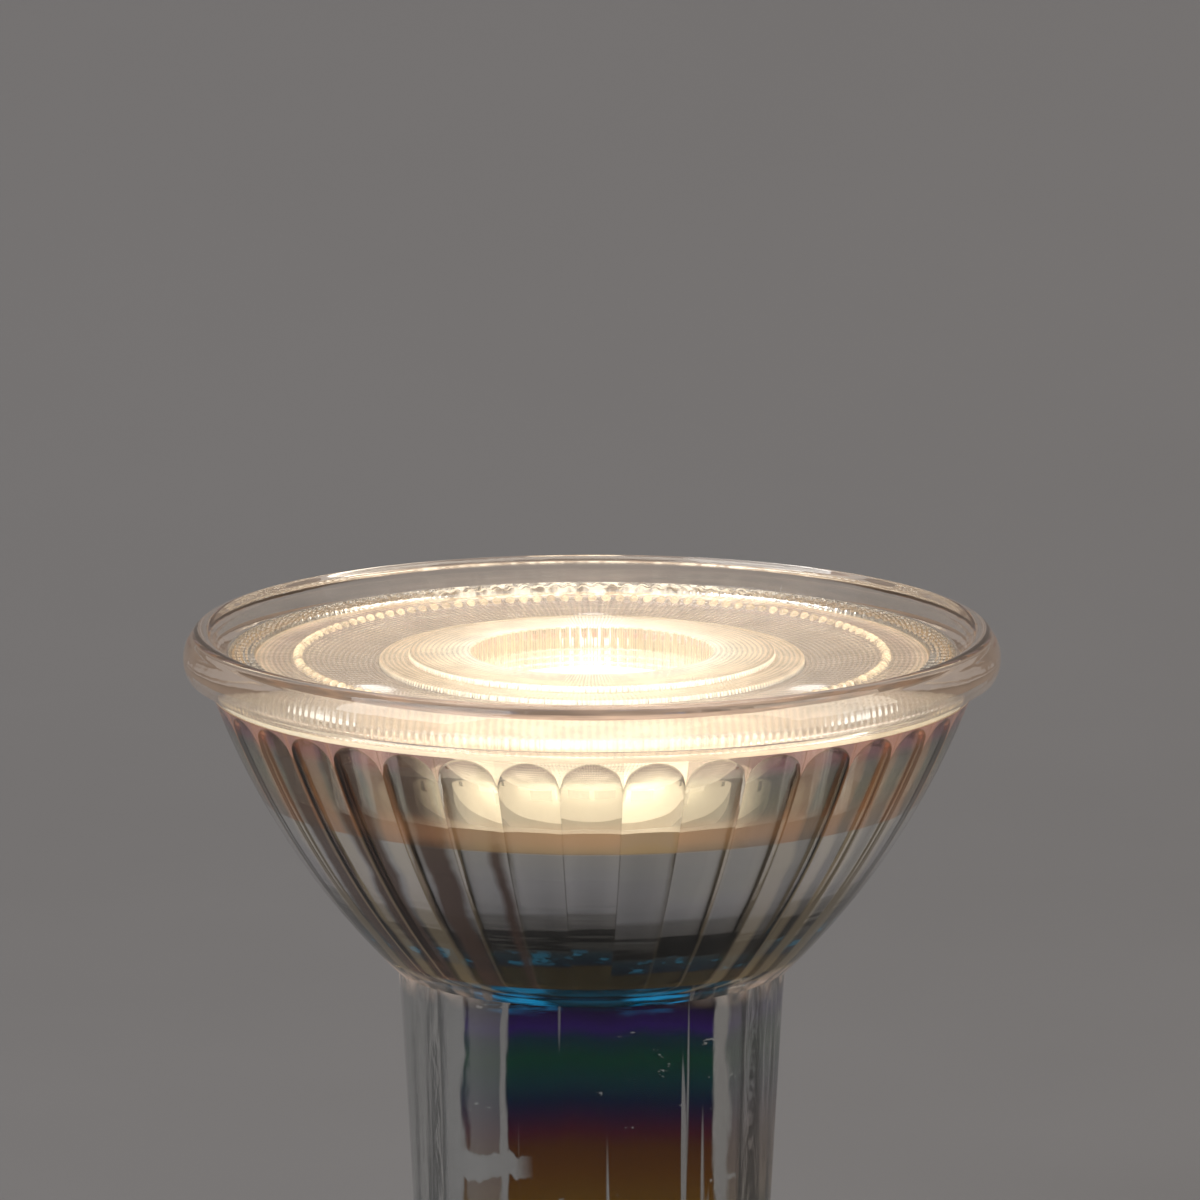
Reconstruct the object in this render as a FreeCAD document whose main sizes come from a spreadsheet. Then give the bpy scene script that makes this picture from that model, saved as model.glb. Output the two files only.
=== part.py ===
import FreeCAD, Part
import math
import operator
import os
from types import SimpleNamespace

import Sketcher

# A mains spotlight bulb: a pressed glass bowl with a flattened neck, a moulded front lens, an LED board
# on a stamped heat spreader, a driver board in the neck and two riveted contact pins in the base.
# All lengths are in millimetres. The origin is the middle of the flat base, between the two pins,
# with +Z towards the light and X through both pins.

SIZES = (
    # Glass rim and bowl, with radii set in from the rim's widest line, the bead
    ("rim_radius", 25.0),
    ("bead_level", 45.1),
    ("flange_edge_inset", 0.2),
    ("flange_edge_drop", 1.1),
    ("bead_curve", 2.6),
    ("crown_outer_inset", 0.7),
    ("crown_inner_inset", 1.6),
    ("crown_rise", 1.66),
    ("crown_chamfer_width", 0.25),
    ("crown_chamfer_height", 0.23),
    ("lip_inset", 2.6),
    ("lip_rise", 0.4),
    ("ledge_drop", 1.7),
    ("bowl_top_drop", 2.4),
    ("bowl_depth", 19.0),
    ("bowl_curve", 47.8),
    ("flange_width", 1.925),
    ("foot_step", 0.55),
    ("glass_wall", 1.9),
    ("floor_thickness", 1.7),
    # Flutes pressed into the inside of the bowl
    ("flute_count", 36),
    ("flute_depth", 0.35),
    ("flute_curve", 4.8),
    ("flute_arch_drop", 4.5),
    ("flute_foot_rise", 0.25),
    # Flattened neck and its cavity, which clears the driver board and the pins' washers
    ("neck_side_wall", 3.25),
    ("neck_depth", 16.8),
    ("neck_corner", 6.0),
    ("neck_draft", 3.2),
    ("base_bevel", 1.4),
    ("base_bevel_angle", 45.0),
    ("base_thickness", 3.6),
    ("cavity_depth", 12.4),
    ("board_side_gap", 0.9),
    ("washer_side_gap", 0.6),
    ("cavity_corner", 3.0),
    ("cavity_draft", 1.0),
    # Front lens and its bond
    ("lens_gap", 0.15),
    ("bond_thickness", 0.3),
    ("bond_width", 0.8),
    ("border_width", 1.65),
    ("border_step", 0.35),
    ("bead_ring_inset", 4.25),
    ("bead_ring_width", 0.7),
    ("bead_ring_height", 0.19),
    ("dish_inner_radius", 13.0),
    ("dish_drop", 0.8),
    ("ring_step_radius", 11.2),
    ("ring_step_height", 0.4),
    ("recess_radius", 7.4),
    ("recess_depth", 2.6),
    ("eye_curve", 26.0),
    ("web_thickness", 1.3),
    ("collimator_curve", 16.0),
    ("collimator_foot_radius", 7.3),
    ("led_window_radius", 6.1),
    ("led_window_height", 2.3),
    ("led_window_peak", 0.575),
    ("lens_standoff", 1.3),
    ("leg_radius", 1.1),
    ("leg_wall_gap", 0.42),
    ("leg_count", 3),
    # Heat spreader, LED board and LEDs
    ("spreader_level", 36.4),
    ("spreader_thickness", 0.9),
    ("spreader_gap", 0.15),
    ("spreader_rim_height", 3.2),
    ("lead_hole_radius", 1.2),
    ("led_board_radius", 10.6),
    ("led_board_thickness", 1.0),
    ("led_lead_hole_radius", 0.6),
    ("led_count", 6),
    ("led_circle_radius", 3.9),
    ("led_length", 3.2),
    ("led_width", 2.6),
    ("led_height", 0.7),
    ("phosphor_radius", 1.05),
    ("phosphor_depth", 0.3),
    # Driver board, standing in the neck
    ("board_front", -0.6),
    ("board_thickness", 0.8),
    ("board_width", 15.4),
    ("board_foot_level", 6.2),
    ("board_shoulder_gap", 0.8),
    ("board_head_width", 19.6),
    ("board_top_gap", 0.8),
    ("header_spacing", 17.4),
    ("header_pin_width", 0.6),
    ("header_pin_overlap", 3.4),
    ("header_pin_rise", 0.8),
    # Parts on the board's front
    ("capacitor_radius", 3.15),
    ("capacitor_length", 9.0),
    ("capacitor_groove", 0.35),
    ("crimp_level", 1.05),
    ("component_side_offset", 3.7),
    ("capacitor_level", 16.0),
    ("inductor_radius", 3.0),
    ("inductor_length", 7.0),
    ("inductor_flange", 0.9),
    ("inductor_hub_radius", 1.2),
    ("winding_radius", 2.6),
    ("film_width", 7.2),
    ("film_depth", 4.4),
    ("film_height", 5.8),
    ("film_side_offset", 4.2),
    ("film_level", 28.4),
    ("output_capacitor_radius", 2.5),
    ("output_capacitor_length", 6.0),
    ("resistor_radius", 1.2),
    ("resistor_length", 6.6),
    ("resistor_lead_radius", 0.3),
    ("resistor_lead_length", 1.6),
    ("resistor_level", 12.4),
    # Parts on the board's back
    ("rectifier_width", 4.7),
    ("rectifier_height", 1.6),
    ("rectifier_length", 4.0),
    ("rectifier_level", 9.0),
    ("chip_width", 3.9),
    ("chip_length", 4.9),
    ("chip_height", 1.5),
    ("chip_legs_a_side", 4),
    ("chip_leg_pitch", 1.27),
    ("chip_leg_width", 0.42),
    ("chip_leg_reach", 1.0),
    ("chip_leg_thickness", 0.25),
    ("chip_level", 17.5),
    ("diode_width", 4.3),
    ("diode_height", 2.2),
    ("diode_length", 2.6),
    ("diode_level", 24.4),
    ("back_side_offset", 3.5),
    ("small_chip_length", 3.2),
    ("small_chip_width", 1.6),
    ("small_chip_height", 0.55),
    ("small_chip_pitch", 2.6),
    ("small_chip_count", 4),
    ("ceramic_length", 2.0),
    ("ceramic_width", 1.25),
    ("ceramic_height", 0.9),
    ("ceramic_pitch", 2.4),
    ("ceramic_count", 3),
    ("radio_width", 10.0),
    ("radio_height", 5.4),
    ("radio_thickness", 0.8),
    ("radio_level", 28.8),
    ("radio_chip_size", 3.6),
    ("radio_chip_height", 0.8),
    # Silicone beads that hold the driver board's edges
    ("bead_radius", 0.9),
    ("bead_length", 7.0),
    ("bead_start_level", 15.0),
    ("bead_edge_inset", 0.3),
    # Contact pins and leads
    ("pin_spacing", 10.0),
    ("pin_reach", 6.8),
    ("pin_head_radius", 2.5),
    ("pin_head_length", 2.4),
    ("pin_head_chamfer", 0.4),
    ("pin_waist_radius", 1.65),
    ("pin_collar_radius", 2.8),
    ("pin_collar_thickness", 0.9),
    ("pin_shank_radius", 1.5),
    ("pin_bore_radius", 0.7),
    ("pin_hole_gap", 0.1),
    ("flare_radius", 2.1),
    ("flare_thickness", 0.5),
    ("washer_radius", 3.0),
    ("washer_thickness", 0.4),
    ("washer_gap", 0.05),
    ("solder_radius", 1.3),
    ("solder_height", 0.2),
    ("lead_radius", 0.6),
    ("lead_pad_length", 3.4),
)

OPERATORS = {"+": operator.add, "-": operator.sub, "*": operator.mul, "/": operator.truediv}


class Dim:
    """A number that carries the sheet formula that it comes from, so that a feature can be bound to it."""

    def __init__(self, number, formula):
        self.number = float(number)
        self.formula = formula

    def joined(self, other, sign):
        other = as_dim(other)
        number = OPERATORS[sign](self.number, other.number)
        return Dim(number, f"({self.formula} {sign} {other.formula})")

    def __add__(self, other):
        return self.joined(other, "+")

    def __sub__(self, other):
        return self.joined(other, "-")

    def __mul__(self, other):
        return self.joined(other, "*")

    def __truediv__(self, other):
        return self.joined(other, "/")

    def __neg__(self):
        return Dim(-self.number, f"(0 - {self.formula})")


def as_dim(value):
    """Take a plain number as a Dim."""
    return value if isinstance(value, Dim) else Dim(value, repr(float(value)))


def root(value):
    """Square root of a Dim."""
    return Dim(math.sqrt(value.number), f"sqrt({value.formula})")


def cosine(angle):
    """Cosine of an angle in degrees."""
    return Dim(math.cos(math.radians(angle.number)), f"cos({angle.formula})")


def sine(angle):
    """Sine of an angle in degrees."""
    return Dim(math.sin(math.radians(angle.number)), f"sin({angle.formula})")


def arcsine(ratio):
    """Angle in degrees that has this sine."""
    return Dim(math.degrees(math.asin(ratio.number)), f"asin({ratio.formula})")


def larger(first, second):
    """The larger of two Dims."""
    return Dim(max(first.number, second.number), f"max({first.formula}; {second.formula})")


doc = FreeCAD.newDocument("spotlight_bulb")
sheet = doc.addObject("Spreadsheet::Sheet", "sizes")
for row, (alias, value) in enumerate(SIZES, start=1):
    sheet.set(f"A{row}", alias)
    sheet.set(f"B{row}", str(value))
    sheet.setAlias(f"B{row}", alias)
doc.recompute()
size = SimpleNamespace(**{alias: Dim(value, f"<<sizes>>.{alias}") for alias, value in SIZES})
derived_names = []


def derived(alias, value):
    """Keep what follows from other sizes in the sheet too, under a name of its own."""
    derived_names.append(alias)
    row = len(SIZES) + len(derived_names)
    sheet.set(f"A{row}", alias)
    sheet.set(f"B{row}", "=" + value.formula.replace("<<sizes>>.", ""))
    sheet.setAlias(f"B{row}", alias)
    doc.recompute()
    return Dim(value.number, f"<<sizes>>.{alias}")


# Levels and radii that several pieces share

foot_level = size.bead_level - size.bowl_depth
floor_level = foot_level + size.floor_thickness
ledge_level = size.bead_level - size.ledge_drop
lip_radius = size.rim_radius - size.lip_inset
inner_curve = size.bowl_curve - size.glass_wall
cavity_width = derived("cavity_width", larger(
    size.board_width + size.board_side_gap * 2,
    size.pin_spacing + (size.washer_radius + size.washer_side_gap) * 2,
))
neck_width = derived("neck_width", cavity_width + size.neck_side_wall * 2)
lens_radius = lip_radius - size.lens_gap
lens_underside = ledge_level + size.bond_thickness
lens_top = size.bead_level + size.lip_rise
led_board_top = size.spreader_level + size.led_board_thickness
led_top = led_board_top + size.led_height
lens_foot_level = led_board_top + size.lens_standoff
board_back = size.board_front - size.board_thickness
board_shoulder = floor_level + size.board_shoulder_gap
board_top = size.spreader_level - size.spreader_thickness - size.board_top_gap
header_y = size.board_front + size.header_pin_width / 2
washer_top = size.base_thickness + size.washer_thickness

# The bowl's meridian is an arc from the neck's shoulder up to the flange. This is the arc's centre.

shoulder_radius = neck_width / 2 + size.foot_step
bowl_top = size.bead_level - size.bowl_top_drop
half_run = derived("half_run", (size.rim_radius - size.flange_width - shoulder_radius) / 2)
half_rise = derived("half_rise", (bowl_top - foot_level) / 2)
half_chord = derived("half_chord", root(half_run * half_run + half_rise * half_rise))
bowl_reach = derived("bowl_reach", root(size.bowl_curve * size.bowl_curve - half_chord * half_chord))
curve_radius = derived("curve_radius", shoulder_radius + half_run - half_rise * bowl_reach / half_chord)
curve_level = derived("curve_level", foot_level + half_rise + half_run * bowl_reach / half_chord)


def bowl_radius(level, curve):
    """Radius at a level of an arc about the centre of the bowl's meridian."""
    drop = curve_level - level
    return curve_radius + root(curve * curve - drop * drop)


def bowl_angle(level):
    """Angle below the horizontal at which the bowl's inner wall reaches a level."""
    return arcsine((curve_level - level) / inner_curve)


bead_ring_radius = lens_radius - size.bead_ring_inset
arch_angle = derived("arch_angle", bowl_angle(size.bead_level - size.flute_arch_drop))
flute_end_angle = derived("flute_end_angle", bowl_angle(floor_level + size.flute_foot_rise))
spreader_curve = inner_curve - size.spreader_gap
spreader_inner_curve = spreader_curve - size.spreader_thickness


# Drawing helpers

def bind(item, place, value):
    """Bind a property to the sheet."""
    item.setExpression(place, as_dim(value).formula)


def place(item, x=0, y=0, z=0, rotation=None):
    """Put a sub-part at its place in the bulb, with its position bound to the sheet."""
    spot = [as_dim(value) for value in (x, y, z)]
    item.Placement = FreeCAD.Placement(
        FreeCAD.Vector(*[value.number for value in spot]), rotation or FreeCAD.Rotation()
    )
    for letter, value in zip("xyz", spot):
        bind(item, f"Placement.Base.{letter}", value)
    return item


def new_body(label):
    body = doc.addObject("PartDesign::Body", label)
    body.Label = label
    return body


def new_sketch(body, name, role, lift=None):
    """Attach a sketch to one of the body's own origin planes, lifted along that plane's normal."""
    sketch = body.newObject("Sketcher::SketchObject", name)
    plane = next(item for item in body.Origin.OriginFeatures if item.Role == role)
    sketch.AttachmentSupport = (plane, [""])
    sketch.MapMode = "FlatFace"
    if lift is not None:
        bind(sketch, "AttachmentOffset.Base.z", lift)
    return sketch


def hold(sketch, edge, end, axis, value):
    """Hold one end of an edge at a distance from the sketch's origin along X or Y."""
    value = as_dim(value)
    if value.number == 0:
        sketch.addConstraint(Sketcher.Constraint("PointOnObject", edge, end, -2 if axis == "X" else -1))
        return
    kind = f"Distance{axis}"
    if value.number > 0:
        index = sketch.addConstraint(Sketcher.Constraint(kind, -1, 1, edge, end, value.number))
        bind(sketch, f"Constraints[{index}]", value)
    else:
        index = sketch.addConstraint(Sketcher.Constraint(kind, edge, end, -1, 1, -value.number))
        bind(sketch, f"Constraints[{index}]", -value)


def arc_between(start, end, radius):
    """Arc from start to end: a positive radius turns anticlockwise, a negative one clockwise."""
    first, last = (start, end) if radius > 0 else (end, start)
    half = (last - first) / 2
    reach = math.sqrt(radius * radius - half.Length ** 2)
    inward = FreeCAD.Vector(-half.y, half.x, 0).normalize()
    centre = first + half + inward * reach
    angles = [math.atan2(point.y - centre.y, point.x - centre.x) for point in (first, last)]
    circle = Part.Circle(centre, FreeCAD.Vector(0, 0, 1), abs(radius))
    return Part.ArcOfCircle(circle, angles[0], angles[1])


def draw_outline(sketch, corners):
    """Draw a closed outline. Each corner is (x, y), or (x, y, radius) where an arc leaves it."""
    points = [FreeCAD.Vector(as_dim(x).number, as_dim(y).number, 0) for x, y, *_ in corners]
    first_edge = sketch.GeometryCount
    starts, ends = [], []
    for index, corner in enumerate(corners):
        start, end = points[index], points[(index + 1) % len(corners)]
        if len(corner) == 2:
            sketch.addGeometry(Part.LineSegment(start, end))
            starts.append(1)
            ends.append(2)
        else:
            turn = as_dim(corner[2])
            sketch.addGeometry(arc_between(start, end, turn.number))
            starts.append(1 if turn.number > 0 else 2)
            ends.append(2 if turn.number > 0 else 1)
    for index, corner in enumerate(corners):
        edge, before = first_edge + index, first_edge + (index - 1) % len(corners)
        joint = Sketcher.Constraint("Coincident", before, ends[index - 1], edge, starts[index])
        sketch.addConstraint(joint)
        hold(sketch, edge, starts[index], "X", corner[0])
        hold(sketch, edge, starts[index], "Y", corner[1])
        if len(corner) == 3:
            turn = as_dim(corner[2])
            radius = turn if turn.number > 0 else -turn
            dimension = Sketcher.Constraint("Radius", edge, radius.number)
            bind(sketch, f"Constraints[{sketch.addConstraint(dimension)}]", radius)


def draw_circle(sketch, x, y, radius):
    """Draw a circle with its centre and radius bound to the sheet."""
    centre = FreeCAD.Vector(as_dim(x).number, as_dim(y).number, 0)
    edge = sketch.addGeometry(Part.Circle(centre, FreeCAD.Vector(0, 0, 1), as_dim(radius).number))
    hold(sketch, edge, 3, "X", x)
    hold(sketch, edge, 3, "Y", y)
    dimension = sketch.addConstraint(Sketcher.Constraint("Radius", edge, as_dim(radius).number))
    bind(sketch, f"Constraints[{dimension}]", radius)


def rounded_rectangle(width, depth, corner):
    """Corners of a rectangle about the origin, with rounded corners."""
    x, y = width / 2, depth / 2
    return (
        (corner - x, -y),
        (x - corner, -y, corner),
        (x, corner - y),
        (x, y - corner, corner),
        (x - corner, y),
        (corner - x, y, corner),
        (-x, y - corner),
        (-x, corner - y, corner),
    )


def box_outline(left, right, low, high):
    """Corners of a plain rectangle."""
    return ((left, low), (right, low), (right, high), (left, high))


def revolve(body, name, corners, angle=360):
    """Turn an outline of radius and height about the body's vertical axis, to both sides of its plane."""
    sketch = new_sketch(body, f"{name}_section", "XZ_Plane")
    draw_outline(sketch, corners)
    feature = body.newObject("PartDesign::Revolution", name)
    feature.Profile = sketch
    feature.ReferenceAxis = (sketch, ["V_Axis"])
    feature.Midplane = True
    bind(feature, "Angle", angle)
    return feature


def pad(body, name, sketch, length, upwards=True, draft=None):
    feature = body.newObject("PartDesign::Pad", name)
    feature.Profile = sketch
    bind(feature, "Length", length)
    feature.Reversed = not upwards
    if draft is not None:
        bind(feature, "TaperAngle", draft)
    return feature


def pocket(body, name, sketch, depth, upwards=False, draft=None):
    feature = body.newObject("PartDesign::Pocket", name)
    feature.Profile = sketch
    bind(feature, "Length", depth)
    feature.Reversed = upwards
    if draft is not None:
        bind(feature, "TaperAngle", draft)
    return feature


def around_axis(body, name, count, originals=None):
    """Repeat features of a body, or with none named the whole body, around its vertical axis."""
    pattern = body.newObject("PartDesign::PolarPattern", name)
    if originals:
        pattern.Originals = originals
    else:
        pattern.TransformMode = "Whole shape"
    axis = next(item for item in body.Origin.OriginFeatures if item.Role == "Z_Axis")
    pattern.Axis = (axis, [""])
    pattern.Angle = 360
    bind(pattern, "Occurrences", count)
    body.Tip = pattern
    return pattern


def turned(label, corners):
    """A body that is one turned outline."""
    body = new_body(label)
    revolve(body, f"{label}_turning", corners)
    return body


def block(label, x, y, z, width, depth, height):
    """A box given by its lowest corner and its three sides."""
    item = doc.addObject("Part::Box", label)
    bind(item, "Length", width)
    bind(item, "Width", depth)
    bind(item, "Height", height)
    return place(item, x, y, z)


def rod(label, x, y, z, radius, height):
    """An upright cylinder given by the middle of its foot."""
    item = doc.addObject("Part::Cylinder", label)
    bind(item, "Radius", radius)
    bind(item, "Height", height)
    return place(item, x, y, z)


def cut(label, base, tool):
    item = doc.addObject("Part::Cut", label)
    item.Base = base
    item.Tool = tool
    return item


def group(label, members):
    """One node of several separate, identical pieces."""
    item = doc.addObject("Part::Compound", label)
    item.Links = members
    return item


# The pieces

def glass_body():
    """Pressed glass: rim, bowl with inner flutes, flattened neck and base with two pin holes."""
    body = new_body("glass_body")
    rim = size.rim_radius
    crown_level = size.bead_level + size.crown_rise
    crown_top = crown_level + size.crown_chamfer_height
    crown_outer, crown_inner = rim - size.crown_outer_inset, rim - size.crown_inner_inset
    revolve(body, "bowl_sector", (
        (0, foot_level),
        (bowl_radius(foot_level, size.bowl_curve), foot_level, size.bowl_curve),
        (bowl_radius(bowl_top, size.bowl_curve), bowl_top),
        (rim - size.flange_edge_inset, size.bead_level - size.flange_edge_drop, size.bead_curve),
        (crown_outer, crown_level),
        (crown_outer - size.crown_chamfer_width, crown_top),
        (crown_inner + size.crown_chamfer_width, crown_top),
        (crown_inner, crown_level),
        (lip_radius, lens_top),
        (lip_radius, ledge_level),
        (bowl_radius(ledge_level, inner_curve), ledge_level, -inner_curve),
        (bowl_radius(floor_level, inner_curve), floor_level),
        (0, floor_level),
    ), as_dim(360) / size.flute_count)
    flute_path = inner_curve - size.flute_curve + size.flute_depth
    flute = body.newObject("PartDesign::SubtractiveTorus", "flute")
    bind(flute, "Radius1", flute_path)
    bind(flute, "Radius2", size.flute_curve)
    bind(flute, "Angle3", flute_end_angle - arch_angle)
    flute.Placement = FreeCAD.Placement(
        FreeCAD.Vector(),
        FreeCAD.Rotation(FreeCAD.Vector(0, 1, 0), arch_angle.number)
        * FreeCAD.Rotation(FreeCAD.Vector(1, 0, 0), -90),
    )
    bind(flute, "Placement.Base.x", curve_radius)
    bind(flute, "Placement.Base.z", curve_level)
    arch = body.newObject("PartDesign::SubtractiveSphere", "flute_arch")
    bind(arch, "Radius", size.flute_curve)
    bind(arch, "Placement.Base.x", curve_radius + flute_path * cosine(arch_angle))
    bind(arch, "Placement.Base.z", curve_level - flute_path * sine(arch_angle))
    around_axis(body, "fluted_bowl", size.flute_count)
    doc.recompute()
    neck_plan = new_sketch(body, "neck_plan", "XY_Plane", foot_level)
    draw_outline(neck_plan, rounded_rectangle(neck_width, size.neck_depth, size.neck_corner))
    neck_length = foot_level - size.base_bevel
    pad(body, "neck", neck_plan, neck_length, upwards=False, draft=-size.neck_draft)
    draw_in = neck_length * sine(size.neck_draft) / cosine(size.neck_draft)
    bevel_plan = new_sketch(body, "bevel_plan", "XY_Plane", size.base_bevel)
    draw_outline(bevel_plan, rounded_rectangle(
        neck_width - draw_in * 2, size.neck_depth - draw_in * 2, size.neck_corner - draw_in
    ))
    pad(body, "base_bevel", bevel_plan, size.base_bevel, upwards=False, draft=-size.base_bevel_angle)
    cavity_plan = new_sketch(body, "cavity_plan", "XY_Plane", floor_level)
    draw_outline(cavity_plan, rounded_rectangle(cavity_width, size.cavity_depth, size.cavity_corner))
    cavity_length = floor_level - size.base_thickness
    pocket(body, "cavity", cavity_plan, cavity_length, draft=-size.cavity_draft)
    hole_plan = new_sketch(body, "pin_hole_plan", "XY_Plane")
    for side in (-1, 1):
        draw_circle(
            hole_plan, size.pin_spacing * side / 2, 0, size.pin_shank_radius + size.pin_hole_gap
        )
    pocket(body, "pin_holes", hole_plan, size.base_thickness, upwards=True)
    return body


def front_lens():
    """Moulded optic: a flange in the rim, ringed face, deep collimator over the LEDs and three legs."""
    body = new_body("front_lens")
    border_inner = lens_radius - size.border_width
    step_level = lens_top - size.border_step
    dish_level = lens_top - size.dish_drop
    ridge, ridge_top = size.bead_ring_width / 2, step_level + size.bead_ring_height
    eye, recess = size.eye_curve, size.recess_radius
    eye_rise = eye - root(eye * eye - recess * recess)
    ring_level = dish_level + size.ring_step_height
    shoulder_level = ring_level + size.ring_step_height
    recess_level = shoulder_level - size.recess_depth
    web_level = dish_level - size.web_thickness
    window_top = lens_foot_level + size.led_window_height
    revolve(body, "optic", (
        (0, window_top + size.led_window_peak),
        (size.led_window_radius, window_top),
        (size.led_window_radius, lens_foot_level),
        (size.collimator_foot_radius, lens_foot_level, size.collimator_curve),
        (size.dish_inner_radius, web_level),
        (bead_ring_radius, web_level),
        (bead_ring_radius, lens_underside),
        (lens_radius, lens_underside),
        (lens_radius, lens_top),
        (border_inner, lens_top),
        (border_inner, step_level),
        (bead_ring_radius + ridge, step_level),
        (bead_ring_radius + ridge / 2, ridge_top),
        (bead_ring_radius - ridge / 2, ridge_top),
        (bead_ring_radius - ridge, step_level),
        (size.dish_inner_radius, dish_level),
        (size.dish_inner_radius, ring_level),
        (size.ring_step_radius, ring_level),
        (size.ring_step_radius, shoulder_level),
        (recess, shoulder_level),
        (recess, recess_level, eye),
        (0, recess_level + eye_rise),
    ))
    leg_plan = new_sketch(body, "leg_plan", "XY_Plane", web_level)
    leg_room = bowl_radius(size.spreader_level, spreader_inner_curve) - size.leg_wall_gap
    draw_circle(leg_plan, 0, leg_room - size.leg_radius, size.leg_radius)
    leg = pad(body, "leg", leg_plan, web_level - size.spreader_level, upwards=False)
    around_axis(body, "legs", size.leg_count, [leg])
    return body


def lens_bond():
    """Cured silicone ring between the rim's ledge and the lens flange."""
    inner = lens_radius - size.bond_width
    return turned("lens_bond", box_outline(inner, lens_radius, ledge_level, lens_underside))


def heat_spreader():
    """Stamped aluminium dish whose turned-up rim follows the bowl's wall, with two lead holes."""
    body = new_body("heat_spreader")
    outer, inner = spreader_curve, spreader_inner_curve
    low = size.spreader_level - size.spreader_thickness
    rim_level = low + size.spreader_rim_height
    revolve(body, "dish", (
        (0, low),
        (bowl_radius(low, outer), low, outer),
        (bowl_radius(rim_level, outer), rim_level),
        (bowl_radius(rim_level, inner), rim_level, -inner),
        (bowl_radius(size.spreader_level, inner), size.spreader_level),
        (0, size.spreader_level),
    ))
    hole_plan = new_sketch(body, "lead_hole_plan", "XY_Plane", size.spreader_level)
    for side in (-1, 1):
        draw_circle(hole_plan, size.header_spacing * side / 2, header_y, size.lead_hole_radius)
    pocket(body, "lead_holes", hole_plan, size.spreader_thickness)
    return body


def led_board():
    """Round aluminium-core board, flat on the heat spreader, with two plated lead holes."""
    body = new_body("led_board")
    plan = new_sketch(body, "board_plan", "XY_Plane", size.spreader_level)
    draw_circle(plan, 0, 0, size.led_board_radius)
    for side in (-1, 1):
        draw_circle(plan, size.header_spacing * side / 2, header_y, size.led_lead_hole_radius)
    pad(body, "board", plan, size.led_board_thickness)
    return body


def led_places():
    """Middles of the LED packages: one on the axis and the others evenly round it."""
    places = [(as_dim(0), as_dim(0))]
    for index in range(int(size.led_count.number)):
        angle = Dim(360 * index, repr(360.0 * index)) / size.led_count
        places.append((size.led_circle_radius * cosine(angle), size.led_circle_radius * sine(angle)))
    return places


def led_packages():
    """White LED packages, each a moulded cup with a round well for the phosphor."""
    packages = []
    for index, (x, y) in enumerate(led_places()):
        corner_x, corner_y = x - size.led_length / 2, y - size.led_width / 2
        cup = block(
            f"led_cup_{index}", corner_x, corner_y, led_board_top,
            size.led_length, size.led_width, size.led_height,
        )
        well = rod(
            f"led_well_{index}", x, y, led_top - size.phosphor_depth,
            size.phosphor_radius, size.phosphor_depth,
        )
        packages.append(cut(f"led_package_{index}", cup, well))
    return group("led_packages", packages)


def led_phosphors():
    """Round phosphor fills, level with the tops of the packages."""
    level = led_top - size.phosphor_depth
    return group("led_phosphors", [
        rod(f"phosphor_{index}", x, y, level, size.phosphor_radius, size.phosphor_depth)
        for index, (x, y) in enumerate(led_places())
    ])


def led_leads():
    """Two square pins, soldered to the driver board's head and passing up through the LED board."""
    foot = board_top - size.header_pin_overlap
    height = led_board_top + size.header_pin_rise - foot
    width = size.header_pin_width
    return group("led_leads", [
        block(
            f"led_lead_{side}", size.header_spacing * side / 2 - width / 2, size.board_front, foot,
            width, width, height,
        )
        for side in (-1, 1)
    ])


def driver_board():
    """Upright board: narrow in the neck, with a wider head in the bowl."""
    body = new_body("driver_board")
    plan = new_sketch(body, "board_face", "XZ_Plane", -size.board_front)
    neck_side, head_side = size.board_width / 2, size.board_head_width / 2
    draw_outline(plan, (
        (-neck_side, size.board_foot_level),
        (neck_side, size.board_foot_level),
        (neck_side, board_shoulder),
        (head_side, board_shoulder),
        (head_side, board_top),
        (-head_side, board_top),
        (-head_side, board_shoulder),
        (-neck_side, board_shoulder),
    ))
    pad(body, "board_panel", plan, size.board_thickness)
    return body


def sleeved_can(radius, length):
    """Outline of a sleeved capacitor can with the crimp groove near its foot."""
    groove, crimp = size.capacitor_groove, size.crimp_level
    return (
        (0, 0),
        (radius - groove, 0),
        (radius, groove),
        (radius, crimp),
        (radius - groove, crimp + groove),
        (radius, crimp + groove * 2),
        (radius, length - groove),
        (radius - groove, length),
        (0, length),
    )


def electrolytic_capacitor():
    """Mains smoothing capacitor."""
    radius = size.capacitor_radius
    body = turned("electrolytic_capacitor", sleeved_can(radius, size.capacitor_length))
    return place(body, -size.component_side_offset, size.board_front + radius, size.capacitor_level)


def inductor_core():
    """Ferrite drum with two flanges."""
    radius, hub, flange = size.inductor_radius, size.inductor_hub_radius, size.inductor_flange
    length = size.inductor_length
    body = turned("inductor_core", (
        (0, 0), (radius, 0), (radius, flange), (hub, flange),
        (hub, length - flange), (radius, length - flange), (radius, length), (0, length),
    ))
    return place(body, size.component_side_offset, size.board_front + radius, size.capacitor_level)


def inductor_winding():
    """Enamelled copper winding between the drum's flanges."""
    flange = size.inductor_flange
    body = turned("inductor_winding", box_outline(
        size.inductor_hub_radius, size.winding_radius, flange, size.inductor_length - flange
    ))
    depth = size.board_front + size.inductor_radius
    return place(body, size.component_side_offset, depth, size.capacitor_level)


def film_capacitor():
    """Boxed film capacitor against the board's head."""
    return block(
        "film_capacitor", -size.film_side_offset - size.film_width / 2, size.board_front, size.film_level,
        size.film_width, size.film_depth, size.film_height,
    )


def output_capacitor():
    """Small sleeved can for the LED supply."""
    radius = size.output_capacitor_radius
    body = turned("output_capacitor", sleeved_can(radius, size.output_capacitor_length))
    return place(body, size.component_side_offset, size.board_front + radius, size.film_level)


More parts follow.
